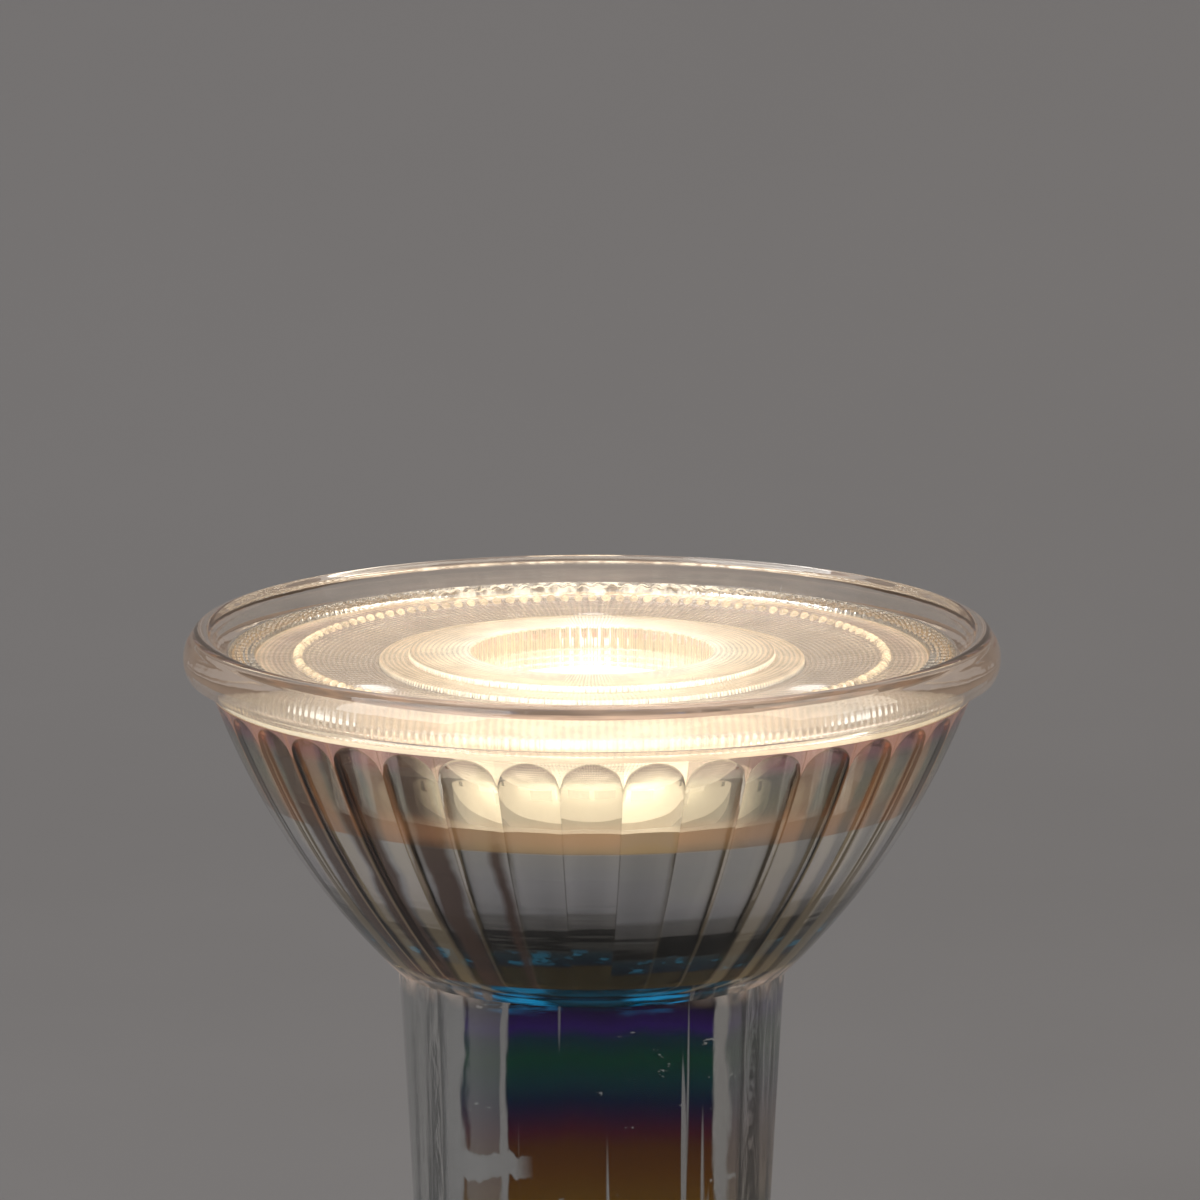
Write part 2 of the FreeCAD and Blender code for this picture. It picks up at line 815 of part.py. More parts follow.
def fusible_resistor():
    """Axial resistor lying across the board, with domed ends and two straight leads."""
    radius, half = size.resistor_radius, size.resistor_length / 2
    lead, reach = size.resistor_lead_radius, size.resistor_length / 2 + size.resistor_lead_length
    middle = reach
    dome = radius - lead
    body = turned("fusible_resistor", (
        (0, middle - reach),
        (lead, middle - reach),
        (lead, middle - half),
        (radius, middle - half + dome),
        (radius, middle + half - dome),
        (lead, middle + half),
        (lead, middle + reach),
        (0, middle + reach),
    ))
    along_x = FreeCAD.Rotation(FreeCAD.Vector(0, 1, 0), 90)
    return place(body, -reach, size.board_front + radius, size.resistor_level, along_x)


def bridge_rectifier():
    """Surface-mounted rectifier on the board's back."""
    return block(
        "bridge_rectifier", size.back_side_offset - size.rectifier_width / 2,
        board_back - size.rectifier_height, size.rectifier_level,
        size.rectifier_width, size.rectifier_height, size.rectifier_length,
    )


def driver_chip():
    """Eight-legged control chip on the board's back."""
    left = -size.back_side_offset - size.chip_width / 2
    case = block(
        "chip_case", left, board_back - size.chip_height, size.chip_level,
        size.chip_width, size.chip_height, size.chip_length,
    )
    legs = [case]
    middle = size.chip_level + size.chip_length / 2 - size.chip_leg_width / 2
    span = size.chip_width + size.chip_leg_reach * 2
    count = int(size.chip_legs_a_side.number)
    for index in range(count):
        level = middle + size.chip_leg_pitch * (index - (count - 1) / 2)
        legs.append(block(
            f"chip_legs_{index}", left - size.chip_leg_reach, board_back - size.chip_leg_thickness, level,
            span, size.chip_leg_thickness, size.chip_leg_width,
        ))
    chip = doc.addObject("Part::MultiFuse", "driver_chip")
    chip.Shapes = legs
    return chip


def output_diode():
    """Surface-mounted diode on the board's back."""
    return block(
        "output_diode", size.back_side_offset - size.diode_width / 2, board_back - size.diode_height,
        size.diode_level, size.diode_width, size.diode_height, size.diode_length,
    )


def chip_resistors():
    """Surface-mounted resistors in a column on the board's back."""
    left, front = size.back_side_offset - size.small_chip_length / 2, board_back - size.small_chip_height
    first = size.rectifier_level + size.rectifier_length + size.small_chip_width / 2
    return group("chip_resistors", [
        block(
            f"chip_resistor_{index}", left, front, first + size.small_chip_pitch * index,
            size.small_chip_length, size.small_chip_height, size.small_chip_width,
        )
        for index in range(int(size.small_chip_count.number))
    ])


def chip_capacitors():
    """Ceramic capacitors in a column on the board's back, below the chip."""
    left, front = -size.back_side_offset - size.ceramic_length / 2, board_back - size.ceramic_height
    return group("chip_capacitors", [
        block(
            f"chip_capacitor_{index}", left, front, size.rectifier_level + size.ceramic_pitch * index,
            size.ceramic_length, size.ceramic_height, size.ceramic_width,
        )
        for index in range(int(size.ceramic_count.number))
    ])


def radio_board():
    """Radio module, soldered flat on the back of the driver board's head."""
    return block(
        "radio_board", -size.radio_width / 2, board_back - size.radio_thickness, size.radio_level,
        size.radio_width, size.radio_thickness, size.radio_height,
    )


def radio_chip():
    """Square radio chip on its module."""
    side = size.radio_chip_size
    return block(
        "radio_chip", -side / 2, board_back - size.radio_thickness - size.radio_chip_height,
        size.radio_level + (size.radio_height - side) / 2, side, size.radio_chip_height, side,
    )


def edge_adhesive():
    """Two beads of silicone that hold the driver board's edges in the neck."""
    panel = block(
        "bead_recess", -size.board_width / 2, board_back, size.bead_start_level,
        size.board_width, size.board_thickness, size.bead_length,
    )
    beads = []
    for side in (-1, 1):
        x = (size.board_width / 2 - size.bead_edge_inset) * side
        bead = rod(
            f"silicone_bead_{side}", x, size.board_front, size.bead_start_level,
            size.bead_radius, size.bead_length,
        )
        beads.append(cut(f"bead_on_edge_{side}", bead, panel))
    return group("edge_adhesive", beads)


def contact_pin(label, side):
    """Turned contact pin: head, waist, collar under the glass, hollow shank and riveted flare inside."""
    collar, waist, head = size.pin_collar_radius, size.pin_waist_radius, size.pin_head_radius
    chamfer, shank, bore = size.pin_head_chamfer, size.pin_shank_radius, size.pin_bore_radius
    reach = size.pin_reach
    head_start = reach - size.pin_head_length
    flare_start = -washer_top
    flare_end = -washer_top - size.flare_thickness
    body = turned(label, (
        (bore, flare_end),
        (bore, reach),
        (head - chamfer, reach),
        (head, reach - chamfer),
        (head, head_start + chamfer),
        (head - chamfer, head_start),
        (waist, head_start),
        (waist, size.pin_collar_thickness),
        (collar, size.pin_collar_thickness),
        (collar, 0),
        (shank, 0),
        (shank, flare_start),
        (size.flare_radius, flare_start),
        (size.flare_radius, flare_end),
    ))
    upside_down = FreeCAD.Rotation(FreeCAD.Vector(1, 0, 0), 180)
    return place(body, size.pin_spacing * side / 2, 0, 0, upside_down)


def pin_washer(label, side):
    """Plain washer on the neck's floor, under the pin's flare."""
    body = turned(label, box_outline(
        size.pin_shank_radius + size.washer_gap, size.washer_radius, size.base_thickness, washer_top
    ))
    return place(body, size.pin_spacing * side / 2)


def pin_solder(label, side):
    """Solder cap that closes the pin's bore round the lead."""
    radius = size.solder_radius
    body = turned(label, (
        (0, size.pin_reach),
        (radius, size.pin_reach),
        (radius / 2, size.pin_reach + size.solder_height),
        (0, size.pin_reach + size.solder_height),
    ))
    upside_down = FreeCAD.Rotation(FreeCAD.Vector(1, 0, 0), 180)
    return place(body, size.pin_spacing * side / 2, 0, 0, upside_down)


def mains_lead(label, side):
    """Lead from the pin's tip, up through its bore to a pad on the driver board's front."""
    length = size.pin_reach + size.board_foot_level + size.lead_pad_length
    y = size.board_front + size.lead_radius
    return rod(label, size.pin_spacing * side / 2, y, -size.pin_reach, size.lead_radius, length)


PIECES = [
    glass_body(),
    front_lens(),
    lens_bond(),
    heat_spreader(),
    led_board(),
    led_packages(),
    led_phosphors(),
    led_leads(),
    driver_board(),
    electrolytic_capacitor(),
    inductor_core(),
    inductor_winding(),
    film_capacitor(),
    output_capacitor(),
    fusible_resistor(),
    bridge_rectifier(),
    driver_chip(),
    output_diode(),
    chip_resistors(),
    chip_capacitors(),
    radio_board(),
    radio_chip(),
    edge_adhesive(),
]
for hand, side in (("left", -1), ("right", 1)):
    PIECES.append(contact_pin(f"contact_pin_{hand}", side))
    PIECES.append(pin_washer(f"pin_washer_{hand}", side))
    PIECES.append(pin_solder(f"pin_solder_{hand}", side))
    PIECES.append(mains_lead(f"mains_lead_{hand}", side))


# Checks before anything is written

doc.recompute()
for item in doc.Objects:
    if "Invalid" in item.State or "Error" in item.State:
        raise RuntimeError(f"{item.Name} failed: {item.State}")
for piece in PIECES:
    if piece.Shape.isNull() or not piece.Shape.isValid():
        raise RuntimeError(f"{piece.Label} has no valid shape")

os.makedirs("parts", exist_ok=True)
for piece in PIECES:
    piece.Shape.exportStep(f"parts/{piece.Label}.step")
    print(f"{piece.Label}: {len(piece.Shape.Solids)} solids, {piece.Shape.Volume:.2f} cubic mm")
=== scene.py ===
"""Looks of a mains LED spotlight bulb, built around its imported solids.

The pressed glass and the moulded lens are made again as fine meshes from the same sizes as their solids,
so that flutes, ribs and rings refract as they do on the real bulb. Every other solid keeps its own mesh
and gets the finish of its real material. Lengths in the classes are in millimetres.
"""

import logging
import math
from dataclasses import dataclass
from enum import Enum

import bmesh
import bpy
import numpy as np
from bpy.types import Material, Mesh, Node, NodeTree, Object
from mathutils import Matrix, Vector

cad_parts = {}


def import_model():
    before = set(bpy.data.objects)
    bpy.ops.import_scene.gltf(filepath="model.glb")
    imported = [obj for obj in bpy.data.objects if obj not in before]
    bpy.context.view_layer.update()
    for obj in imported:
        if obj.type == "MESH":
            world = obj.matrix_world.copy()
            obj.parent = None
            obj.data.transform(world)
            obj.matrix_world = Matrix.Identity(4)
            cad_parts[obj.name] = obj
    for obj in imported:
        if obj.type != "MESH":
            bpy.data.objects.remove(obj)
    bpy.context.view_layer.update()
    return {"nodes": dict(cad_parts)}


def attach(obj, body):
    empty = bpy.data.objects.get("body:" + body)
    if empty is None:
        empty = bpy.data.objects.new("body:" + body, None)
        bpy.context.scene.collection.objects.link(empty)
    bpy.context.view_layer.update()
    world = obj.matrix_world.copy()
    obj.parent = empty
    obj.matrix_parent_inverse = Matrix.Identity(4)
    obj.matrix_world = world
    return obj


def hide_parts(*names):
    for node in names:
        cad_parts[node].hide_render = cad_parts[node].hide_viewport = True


MM = 0.001
BOROSILICATE_IOR = 1.474
ACRYLIC_IOR = 1.49
LOG = logging.getLogger("spotlight_bulb")

Colour = tuple[float, float, float, float]
Point = tuple[float, float]
Recipe = dict[str, tuple]

OPTIONS = {
    "Attribute": "attribute_name", "Math": "operation", "Mix": "data_type", "TexWhiteNoise": "noise_dimensions",
    "VectorMath": "operation",
}


class GlassZone(Enum):
    """Material slots of the pressed glass: its bare skin and its two coated inner walls."""

    SKIN = 0
    FLUTES = 1
    CAVITY = 2


class Side(Enum):
    """The two pins of the cap."""

    LEFT = -1
    RIGHT = 1


# Shared helpers


def linear(code: str) -> Colour:
    """Turn an sRGB hex colour into a linear one.

    Args:
        code: the colour as "#RRGGBB".

    Returns:
        Red, green, blue and alpha, each from 0 to 1.
    """
    parts = [int(code[i:i + 2], 16) / 255 for i in (1, 3, 5)]
    curve = [part / 12.92 if part <= 0.04045 else ((part + 0.055) / 1.055) ** 2.4 for part in parts]
    return (curve[0], curve[1], curve[2], 1.0)


def add(
    tree: NodeTree, kind: str, settings: dict | None = None, links: dict | None = None,
) -> Node:
    """Add a node to a tree.

    Args:
        tree: the node tree.
        kind: the node's type name.
        settings: node attributes, and values of input sockets by name or number. "stops" fills a colour ramp.
        links: output sockets to link, by the name or number of the input socket.

    Returns:
        The new node.
    """
    node = tree.nodes.new(kind)
    for key, value in (settings or {}).items():
        if key == "stops":
            ramp = node.color_ramp
            while len(ramp.elements) < len(value):
                ramp.elements.new(0.5)
            for element, (place, colour) in zip(ramp.elements, value):
                element.position = place
                element.color = linear(colour) if isinstance(colour, str) else (colour, colour, colour, 1.0)
        elif isinstance(key, str) and hasattr(node, key):
            setattr(node, key, value)
        else:
            node.inputs[key].default_value = value
    for key, socket in (links or {}).items():
        tree.links.new(socket, node.inputs[key])
    return node


def weave(tree: NodeTree, recipe: Recipe) -> Node:
    """Add a recipe's nodes to a tree.

    An entry gives a node's kind, with its option after a space, and then its first inputs. A list holds a colour
    ramp's stops, and a dictionary holds what goes by name or number. An input is a value, a colour as "#RRGGBB",
    or the word of an earlier node, with one of its outputs after a point where the first isn't meant.

    Args:
        tree: the node tree.
        recipe: the nodes by word, in order.

    Returns:
        The last node.
    """
    made: dict[str, Node] = {}
    for word, (kind, *inputs) in recipe.items():
        kind, _, option = kind.partition(" ")
        given = {OPTIONS[kind]: option} if option else {}
        for number, value in enumerate(inputs):
            if isinstance(value, dict):
                given.update(value)
            else:
                given["stops" if isinstance(value, list) else number] = value
        settings, links = {}, {}
        for key, value in given.items():
            source, _, output = value.partition(".") if isinstance(value, str) else ("", "", "")
            if source in made:
                links[key] = made[source].outputs[int(output or 0) if output.isdigit() or not output else output]
            else:
                settings[key] = linear(value) if source.startswith("#") else value
        made[word] = add(tree, f"ShaderNode{kind}", settings, links)
    return made[word]


def arc_points(start: Point, end: Point, radius: float, count: int) -> list[Point]:
    """Points along an arc, without its first one.

    Args:
        start: where the arc starts.
        end: where it ends.
        radius: positive to turn anticlockwise, negative to turn clockwise.
        count: how many points to give.

    Returns:
        The points, ending with the arc's end.
    """
    (x0, y0), (x1, y1) = (start, end) if radius > 0 else (end, start)
    half = ((x1 - x0) / 2, (y1 - y0) / 2)
    span = math.hypot(*half)
    reach = math.sqrt(max(radius * radius - span * span, 0.0))
    centre = (x0 + half[0] - half[1] / span * reach, y0 + half[1] + half[0] / span * reach)
    first = math.atan2(start[1] - centre[1], start[0] - centre[0])
    last = math.atan2(end[1] - centre[1], end[0] - centre[0])
    turn = last - first
    if radius > 0 and turn < 0:
        turn += 2 * math.pi
    if radius < 0 and turn > 0:
        turn -= 2 * math.pi
    size = abs(radius)
    steps = [first + turn * (i + 1) / count for i in range(count)]
    return [(centre[0] + size * math.cos(a), centre[1] + size * math.sin(a)) for a in steps]


def straight_points(start: Point, end: Point, count: int) -> list[Point]:
    """Points along a straight line, without its first one."""
    return [
        (start[0] + (end[0] - start[0]) * (i + 1) / count, start[1] + (end[1] - start[1]) * (i + 1) / count)
        for i in range(count)
    ]


def bridge(form: bmesh.types.BMesh, rings: list[list[bmesh.types.BMVert]]) -> None:
    """Join each ring of points to the next with faces."""
    for low, high in zip(rings, rings[1:]):
        for i in range(len(low)):
            after = (i + 1) % len(low)
            form.faces.new((low[i], low[after], high[after], high[i]))


def mesh_object(name: str, mesh: Mesh) -> Object:
    """Put a mesh into the scene as an object at the origin."""
    piece = bpy.data.objects.new(name, mesh)
    bpy.context.scene.collection.objects.link(piece)
    return piece


def smooth(mesh: Mesh, sharp_degrees: float) -> None:
    """Shade a mesh smooth, with edges past an angle kept sharp."""
    mesh.polygons.foreach_set("use_smooth", [True] * len(mesh.polygons))
    mesh.set_sharp_from_angle(angle=math.radians(sharp_degrees))


def ride(piece: Object, slot: str, *nodes: str) -> Object:
    """Let a finished piece ride on the bulb and stand for nodes.

    Args:
        piece: the finished piece, at the origin.
        slot: not used.
        nodes: the solids it stands for, if any.

    Returns:
        The same piece.
    """
    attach(piece, "root")
    if nodes:
        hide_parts(*nodes)
    LOG.info("%s: %d faces", piece.name, len(piece.data.polygons))
    return piece


# Finishes


# Shares of painted glow round the rim, from front to back: most in front, least at the sides, a little more behind.
PAINTED_GLOW_ROUND = (
    (0.0, 1.0), (0.035, 0.76), (0.10, 0.37), (0.16, 0.22), (0.3, 0.1), (0.8, 0.1), (0.95, 0.28), (1.0, 0.36),
)


# Where a spot is, and how far from the lamp's axis.
PLACE: Recipe = {"place": ("TexCoord",), "axes": ("SeparateXYZ", "place.Object")}
ROUND: Recipe = {
    "flat": ("VectorMath MULTIPLY", "place.Object", (1.0, 1.0, 0.0)), "distance": ("VectorMath LENGTH", "flat"),
}
# The turn of a spot, -1 in front and 1 behind, and its share of painted glow: most in front.
FACING: Recipe = {
    "turn": ("Math DIVIDE", "axes.Y", "distance.Value"),
    "turned": ("MapRange", "turn", -1.0, 1.0),
    "facing": ("ValToRGB", "turned", list(PAINTED_GLOW_ROUND)),
}


def noise(word: str, scale: tuple[float, float, float], detail: float, roughness: float = 0.5) -> Recipe:
    """A noise drawn out by a scale of its own.

    Args:
        word: the noise's word in the recipe.
        scale: how many of its cells go to a metre along each axis.
        detail: its octaves.
        roughness: how much the finer octaves weigh.

    Returns:
        The nodes.
    """
    return {
        f"{word}_scale": ("Mapping", {"Scale": scale, "Vector": "place.Object"}),
        word: ("TexNoise", {"Scale": 1.0, "Detail": detail, "Roughness": roughness, "Vector": f"{word}_scale"}),
    }


class Finish:
    """A real material and its process, as a recipe whose last node is the shader."""

    name: str

    @property
    def is_lamp(self) -> bool:
        """Whether rays are aimed at its glow, as at a lamp, or only meet it by chance."""
        return False

    def nodes(self) -> Recipe:
        """The nodes, in order."""
        raise NotImplementedError

    def build(self) -> Material:
        """Make the material."""
        material = bpy.data.materials.new(self.name)
        material.cycles.emission_sampling = "AUTO" if self.is_lamp else "NONE"
        material.use_nodes = True
        tree = material.node_tree
        tree.nodes.clear()
        add(tree, "ShaderNodeOutputMaterial", links={"Surface": weave(tree, self.nodes()).outputs[0]})
        return material


@dataclass(frozen=True)
class PressedGlass(Finish):
    """Pressed borosilicate glass, fire-polished: clear, with a slow ripple.

    The rim carries a painted glow, strongest in front and where the lens lies against its lip,
    and the sides of the foot carry painted cream glints.
    """

    # Fire-polishing leaves no tool marks: clear, wet-looking gloss that bends what lies behind it a little.
    name: str = "borosilicate_glass_fire_polished"
    tint: str = "#F8F8F4"
    ripple_mm: float = 3.5
    ripple_height: float = 0.06
    lip_radius: float = 22.4
    rim_levels: Point = (41.0, 47.0)
    wall_levels: Point = (43.2, 43.5)
    foot_levels: Point = (24.9, 27.4)

    def nodes(self) -> Recipe:
        """The nodes, in order."""
        return {
            **PLACE, **ROUND, **FACING,
            "stretch": ("Mapping", {"Scale": (1.0, 1.0, 0.35), "Vector": "place.Object"}),
            "ripple": ("TexNoise", {"Scale": 1 / (self.ripple_mm * MM), "Detail": 2.0, "Vector": "stretch"}),
            "bump": ("Bump", {"Strength": self.ripple_height, "Distance": 0.0006, "Height": "ripple"}),
            "polish": ("MapRange", "ripple", 0.3, 0.7, 0.005, 0.05),
            # Painted glow up the rim, and on the glass just outside the lip above the ledge, broken by fine noise.
            "height": ("MapRange", "axes.Z", self.rim_levels[0] * MM, self.rim_levels[1] * MM),
            "rim": ("ValToRGB", "height", [(0.0, 0.0), (0.75, 0.14), (0.95, 0.22), (1.0, 0.3)]),
            "lip": ("MapRange", "distance.Value", (self.lip_radius + 0.05) * MM, (self.lip_radius + 0.9) * MM, 1.0,
                0.0),
            "high": ("MapRange", "axes.Z", self.wall_levels[0] * MM, self.wall_levels[1] * MM),
            "wall": ("Math MULTIPLY", "lip", "high"),
            **noise("fine", (250.0, 250.0, 2600.0), 2.0),
            "broken": ("MapRange", "fine", 0.35, 0.65, 0.06, 0.36),
            "wall_glow": ("Math MULTIPLY", "wall", "facing"),
            "wall_light": ("Math MULTIPLY", "wall_glow", "broken"),
            "rim_light": ("Math MULTIPLY", "rim", "facing"),
            "rim_low": ("Math MULTIPLY", "rim_light", 0.4),
            "milky": ("Math MULTIPLY_ADD", "rim", 0.16, "rim_low"),
            "upper": ("Math ADD", "wall_light", "milky"),
            # Painted cream glints on the sides of the foot.
            "foot": ("MapRange", "axes.Z", self.foot_levels[0] * MM, self.foot_levels[1] * MM),
            "foot_zone": ("ValToRGB", "foot", [(0.0, 0.0), (0.3, 0.5), (0.55, 1.0), (0.8, 0.5), (1.0, 0.0)]),
            "lateral": ("MapRange", "facing", 0.2, 0.7, 1.0, 0.0),
            **noise("sparks", (700.0, 700.0, 420.0), 3.0),
            "spark": ("MapRange", "sparks", 0.42, 0.62, 0.02, 0.22),
            "foot_there": ("Math MULTIPLY", "foot_zone", "lateral"),
            "foot_light": ("Math MULTIPLY", "foot_there", "spark"),
            "piped": ("Math ADD", "upper", "foot_light"),
            "glass": ("BsdfPrincipled", {"Base Color": self.tint, "Transmission Weight": 1.0, "IOR": BOROSILICATE_IOR,
                "Emission Color": "#FFD9BC", "Roughness": "polish", "Normal": "bump", "Emission Strength": "piped"}),
            "clear": ("BsdfTransparent", {"Color": "#F2F2EE"}),
            "path": ("LightPath",),
            "mixed": ("MixShader", "path.Is Shadow Ray", "glass", "clear"),
        }


@dataclass(frozen=True)
class DichroicFlutes(Finish):
    """Vacuum-coated dichroic film on the fluted wall.

    Below the heat spreader it is nearly a mirror, grey at the top and dark at the foot, with a painted reflection
    that breaks from flute to flute. Above it the film passes half the lamp's light, in warm and greenish tints,
    under a painted glow that is strongest in front.
    """

    # Oxide layers evaporated on the wall: a cold grey mirror with coloured glints, cut into strips by the flutes.
    name: str = "dichroic_film_on_fluted_glass"
    low: float = 27.5
    high: float = 43.5
    plate_level: float = 37.4
    brown_bands: tuple[tuple[float, float], ...] = ((-59, -52), (-47, -40), (-31.5, -26), (-17.6, -15.4))
    highlight_bands: tuple[tuple[float, float], ...] = (
        # Angles of painted cream highlights round the sides.
        (-66, -60.5), (-52, -48), (-38.5, -33.8), (34.5, 38.8), (45, 48), (51, 56), (60, 67),
    )

    @staticmethod
    def bands(spans: tuple[tuple[float, float], ...], strength: float) -> list[tuple[float, float]]:
        """Ramp stops that are strong between each pair of angles round the front, and zero elsewhere.

        Args:
            spans: pairs of angles from the front, in degrees.
            strength: the value inside a span.

        Returns:
            Stops for a ramp whose 0 to 1 is -90 to 90 degrees.
        """
        stops = [(0.0, 0.0)]
        soft = 0.003
        for first, last in spans:
            low, high = (first + 90) / 180, (last + 90) / 180
            stops += [(low - soft, 0.0), (low + soft, strength), (high - soft, strength), (high + soft, 0.0)]
        return stops

    def nodes(self) -> Recipe:
        """The nodes, in order."""
        plate = (self.plate_level - self.low) / (self.high - self.low)
        return {
            **PLACE, **ROUND, **FACING,
            "across": ("Attribute flute_across",),
            "number": ("Attribute flute_number",),
            "arch": ("Attribute below_arch",),
            "level": ("MapRange", "axes.Z", self.low * MM, self.high * MM),
            "random": ("TexWhiteNoise 1D", {"W": "number.Fac"}),
            "dice": ("SeparateColor", "random.Color"),
            "shift": ("MapRange", "dice.1", 0.0, 1.0, -0.05, 0.05),
            "moved": ("Math ADD", "level", "shift"),
            "lower": ("ValToRGB", "moved", [(0.0, "#6E6240"), (0.09, "#6A5E40"), (0.105, "#2E4256"),
                (0.15, "#46606C"), (0.175, "#70706C"), (0.235, "#868480"), (0.25, "#A8A6A4"), (0.325, "#C0BFC0"),
                (0.34, "#E8E8EE"), (0.46, "#F8F8FE"), (0.56, "#FFFFFF")]),
            "upper": ("ValToRGB", "level", [(plate, "#DCD0C6"), (0.7, "#D8CAB8"), (0.8, "#C9C8B6"), (0.9, "#B4B4B2"),
                (0.94, "#D8A4BA"), (1.0, "#E6B4C0")]),
            "above": ("Math GREATER_THAN", "level", plate),
            # Painted reflection: dark blocks on some flutes and fine dark lines.
            "block": ("ValToRGB", "moved", [(0.165, 0.0), (0.17, 0.9), (0.26, 0.9), (0.265, 0.25), (0.36, 0.1),
                (0.4, 0.0)]),
            "chosen": ("Math GREATER_THAN", "dice.2", 0.6),
            **noise("fine", (160.0, 160.0, 3600.0), 1.0),
            "fine_line": ("ValToRGB", "fine", [(0.0, 0.1), (0.42, 0.1), (0.52, 0.85), (1.0, 0.95)]),
            "either_dark": ("Math MAXIMUM", "chosen", "fine_line"),
            "blocked": ("Math MULTIPLY", "block", "either_dark"),
            "lined": ("Mix RGBA", "blocked", {6: "lower", 7: "#242320"}),
            "film": ("Mix RGBA", "above", {6: "lined.2", 7: "upper"}),
            # Painted reflection that breaks from flute to flute: each flute a little lighter or darker.
            "step": ("MapRange", "dice", 0.0, 1.0, 0.84, 1.12),
            "stepped": ("Mix RGBA", 1.0, {"blend_type": "MULTIPLY", 6: "film.2", 7: "step"}),
            # Painted cyan glints near the foot of the bowl.
            **noise("glints", (700.0, 700.0, 1500.0), 2.0),
            "glint_spot": ("ValToRGB", "glints", [(0.0, 0.0), (0.54, 0.0), (0.62, 1.0), (1.0, 1.0)]),
            "glint_zone": ("ValToRGB", "moved", [(0.1, 0.0), (0.115, 0.9), (0.155, 0.8), (0.175, 0.0)]),
            "glint": ("Math MULTIPLY", "glint_spot", "glint_zone"),
            "glinting": ("Mix RGBA", "glint", {6: "stepped.2", 7: "#48B4E0"}),
            "back": ("Math MULTIPLY", "axes.Y", -1.0),
            "angle": ("Math ARCTAN2", "axes.X", "back"),
            **noise("sway", (120.0, 120.0, 420.0), 3.0),
            "swayed": ("Math MULTIPLY_ADD", "sway", math.radians(3.0), "angle"),
            "azimuth": ("MapRange", "swayed", math.radians(-88.5), math.radians(91.5)),
            "stripe": ("ValToRGB", "azimuth", self.bands(self.brown_bands, 0.88)),
            # Painted cream highlights in bands round the sides.
            "cream": ("ValToRGB", "azimuth", self.bands(self.highlight_bands, 0.8)),
            "browned": ("Mix RGBA", "stripe", {6: "glinting.2", 7: "#84685C"}),
            # Painted shade: dark lines along the ridges and the arch edges.
            "ridge": ("ValToRGB", "across.Fac", [(0.0, 0.0), (0.965, 0.0), (0.99, 0.45), (1.0, 0.5)]),
            "edge": ("MapRange", "arch.Fac", -0.1, 0.12),
            "outline": ("ValToRGB", "edge", [(0.0, 0.0), (0.35, 0.0), (0.5, 0.8), (0.75, 0.5), (1.0, 0.0)]),
            "lines": ("Math MAXIMUM", "ridge", "outline"),
            # Painted shade under the top of each arch.
            "head": ("MapRange", "arch.Fac", 0.0, 1.9, 0.62, 1.0),
            "headed": ("Mix RGBA", 1.0, {"blend_type": "MULTIPLY", 6: "browned.2", 7: "head"}),
            "spandrel": ("Math SUBTRACT", 1.0, "edge"),
            "pinked": ("Mix RGBA", "spandrel", {6: "headed.2", 7: "#F2C6D2"}),
            "drawn": ("Mix RGBA", "lines", {6: "pinked.2", 7: "#5A524C"}),
            # Painted glow: in front above the heat spreader, over the glass above the arch tops, and in the cream
            # highlights.
            "warm": ("ValToRGB", "level", [(plate - 0.01, 0.0), (plate, 0.04), (0.665, 0.3), (0.7, 0.3),
                (0.76, 0.0)]),
            "ahead": ("Math POWER", "facing", 1.8),
            "leaking": ("Math MULTIPLY", "warm", "ahead"),
            # Painted cream light along the ridges at the sides.
            "edged": ("MapRange", "across.Fac", 0.86, 0.96),
            "beside": ("Math SUBTRACT", 1.0, "facing"),
            "edge_light": ("Math MULTIPLY", "edged", "beside"),
            "brightest": ("Math MAXIMUM", "cream", "edge_light"),
            "blushed": ("Math MULTIPLY_ADD", "spandrel", 0.1, "leaking"),
            "creamy": ("Math MULTIPLY_ADD", "brightest", 0.12, "blushed"),
            "hue": ("Mix RGBA", "above", {6: "#DCC4A0", 7: "#FFB074"}),
            "mirror": ("BsdfPrincipled", {"Metallic": 1.0, "Roughness": 0.07, "Base Color": "drawn.2",
                "Emission Color": "hue.2", "Emission Strength": "creamy"}),
            "clear": ("BsdfPrincipled", {"Base Color": "#EFE8D6", "Transmission Weight": 1.0, "Roughness": 0.03,
                "IOR": BOROSILICATE_IOR}),
            "opacity": ("ValToRGB", "level", [(0.0, 0.97), (plate - 0.004, 0.97), (plate + 0.004, 0.36), (0.9, 0.34),
                (1.0, 0.25)]),
            "uneven": ("MapRange", "dice", 0.0, 1.0, -0.26, 0.3),
            "varied": ("Math MULTIPLY", "uneven", "above"),
            "base_share": ("Math ADD", "opacity", "varied", {"use_clamp": True}),
            "flank": ("MapRange", "facing", 0.6, 0.92, 0.93, 0.0),
            "hooded": ("MapRange", "arch.Fac", 0.0, 1.5, 0.72, 0.0),
            "under": ("Math MULTIPLY", "hooded", "edge"),
            "flanked": ("Math MAXIMUM", "base_share", "flank"),
            "share": ("Math MAXIMUM", "flanked", "under"),
            "mixed": ("MixShader", "share", "clear", "mirror"),
            "see": ("BsdfTransparent", {"Color": "#8C8C8A"}),
            "path": ("LightPath",),
            "out": ("MixShader", "path.Is Shadow Ray", "mixed", "see"),
        }


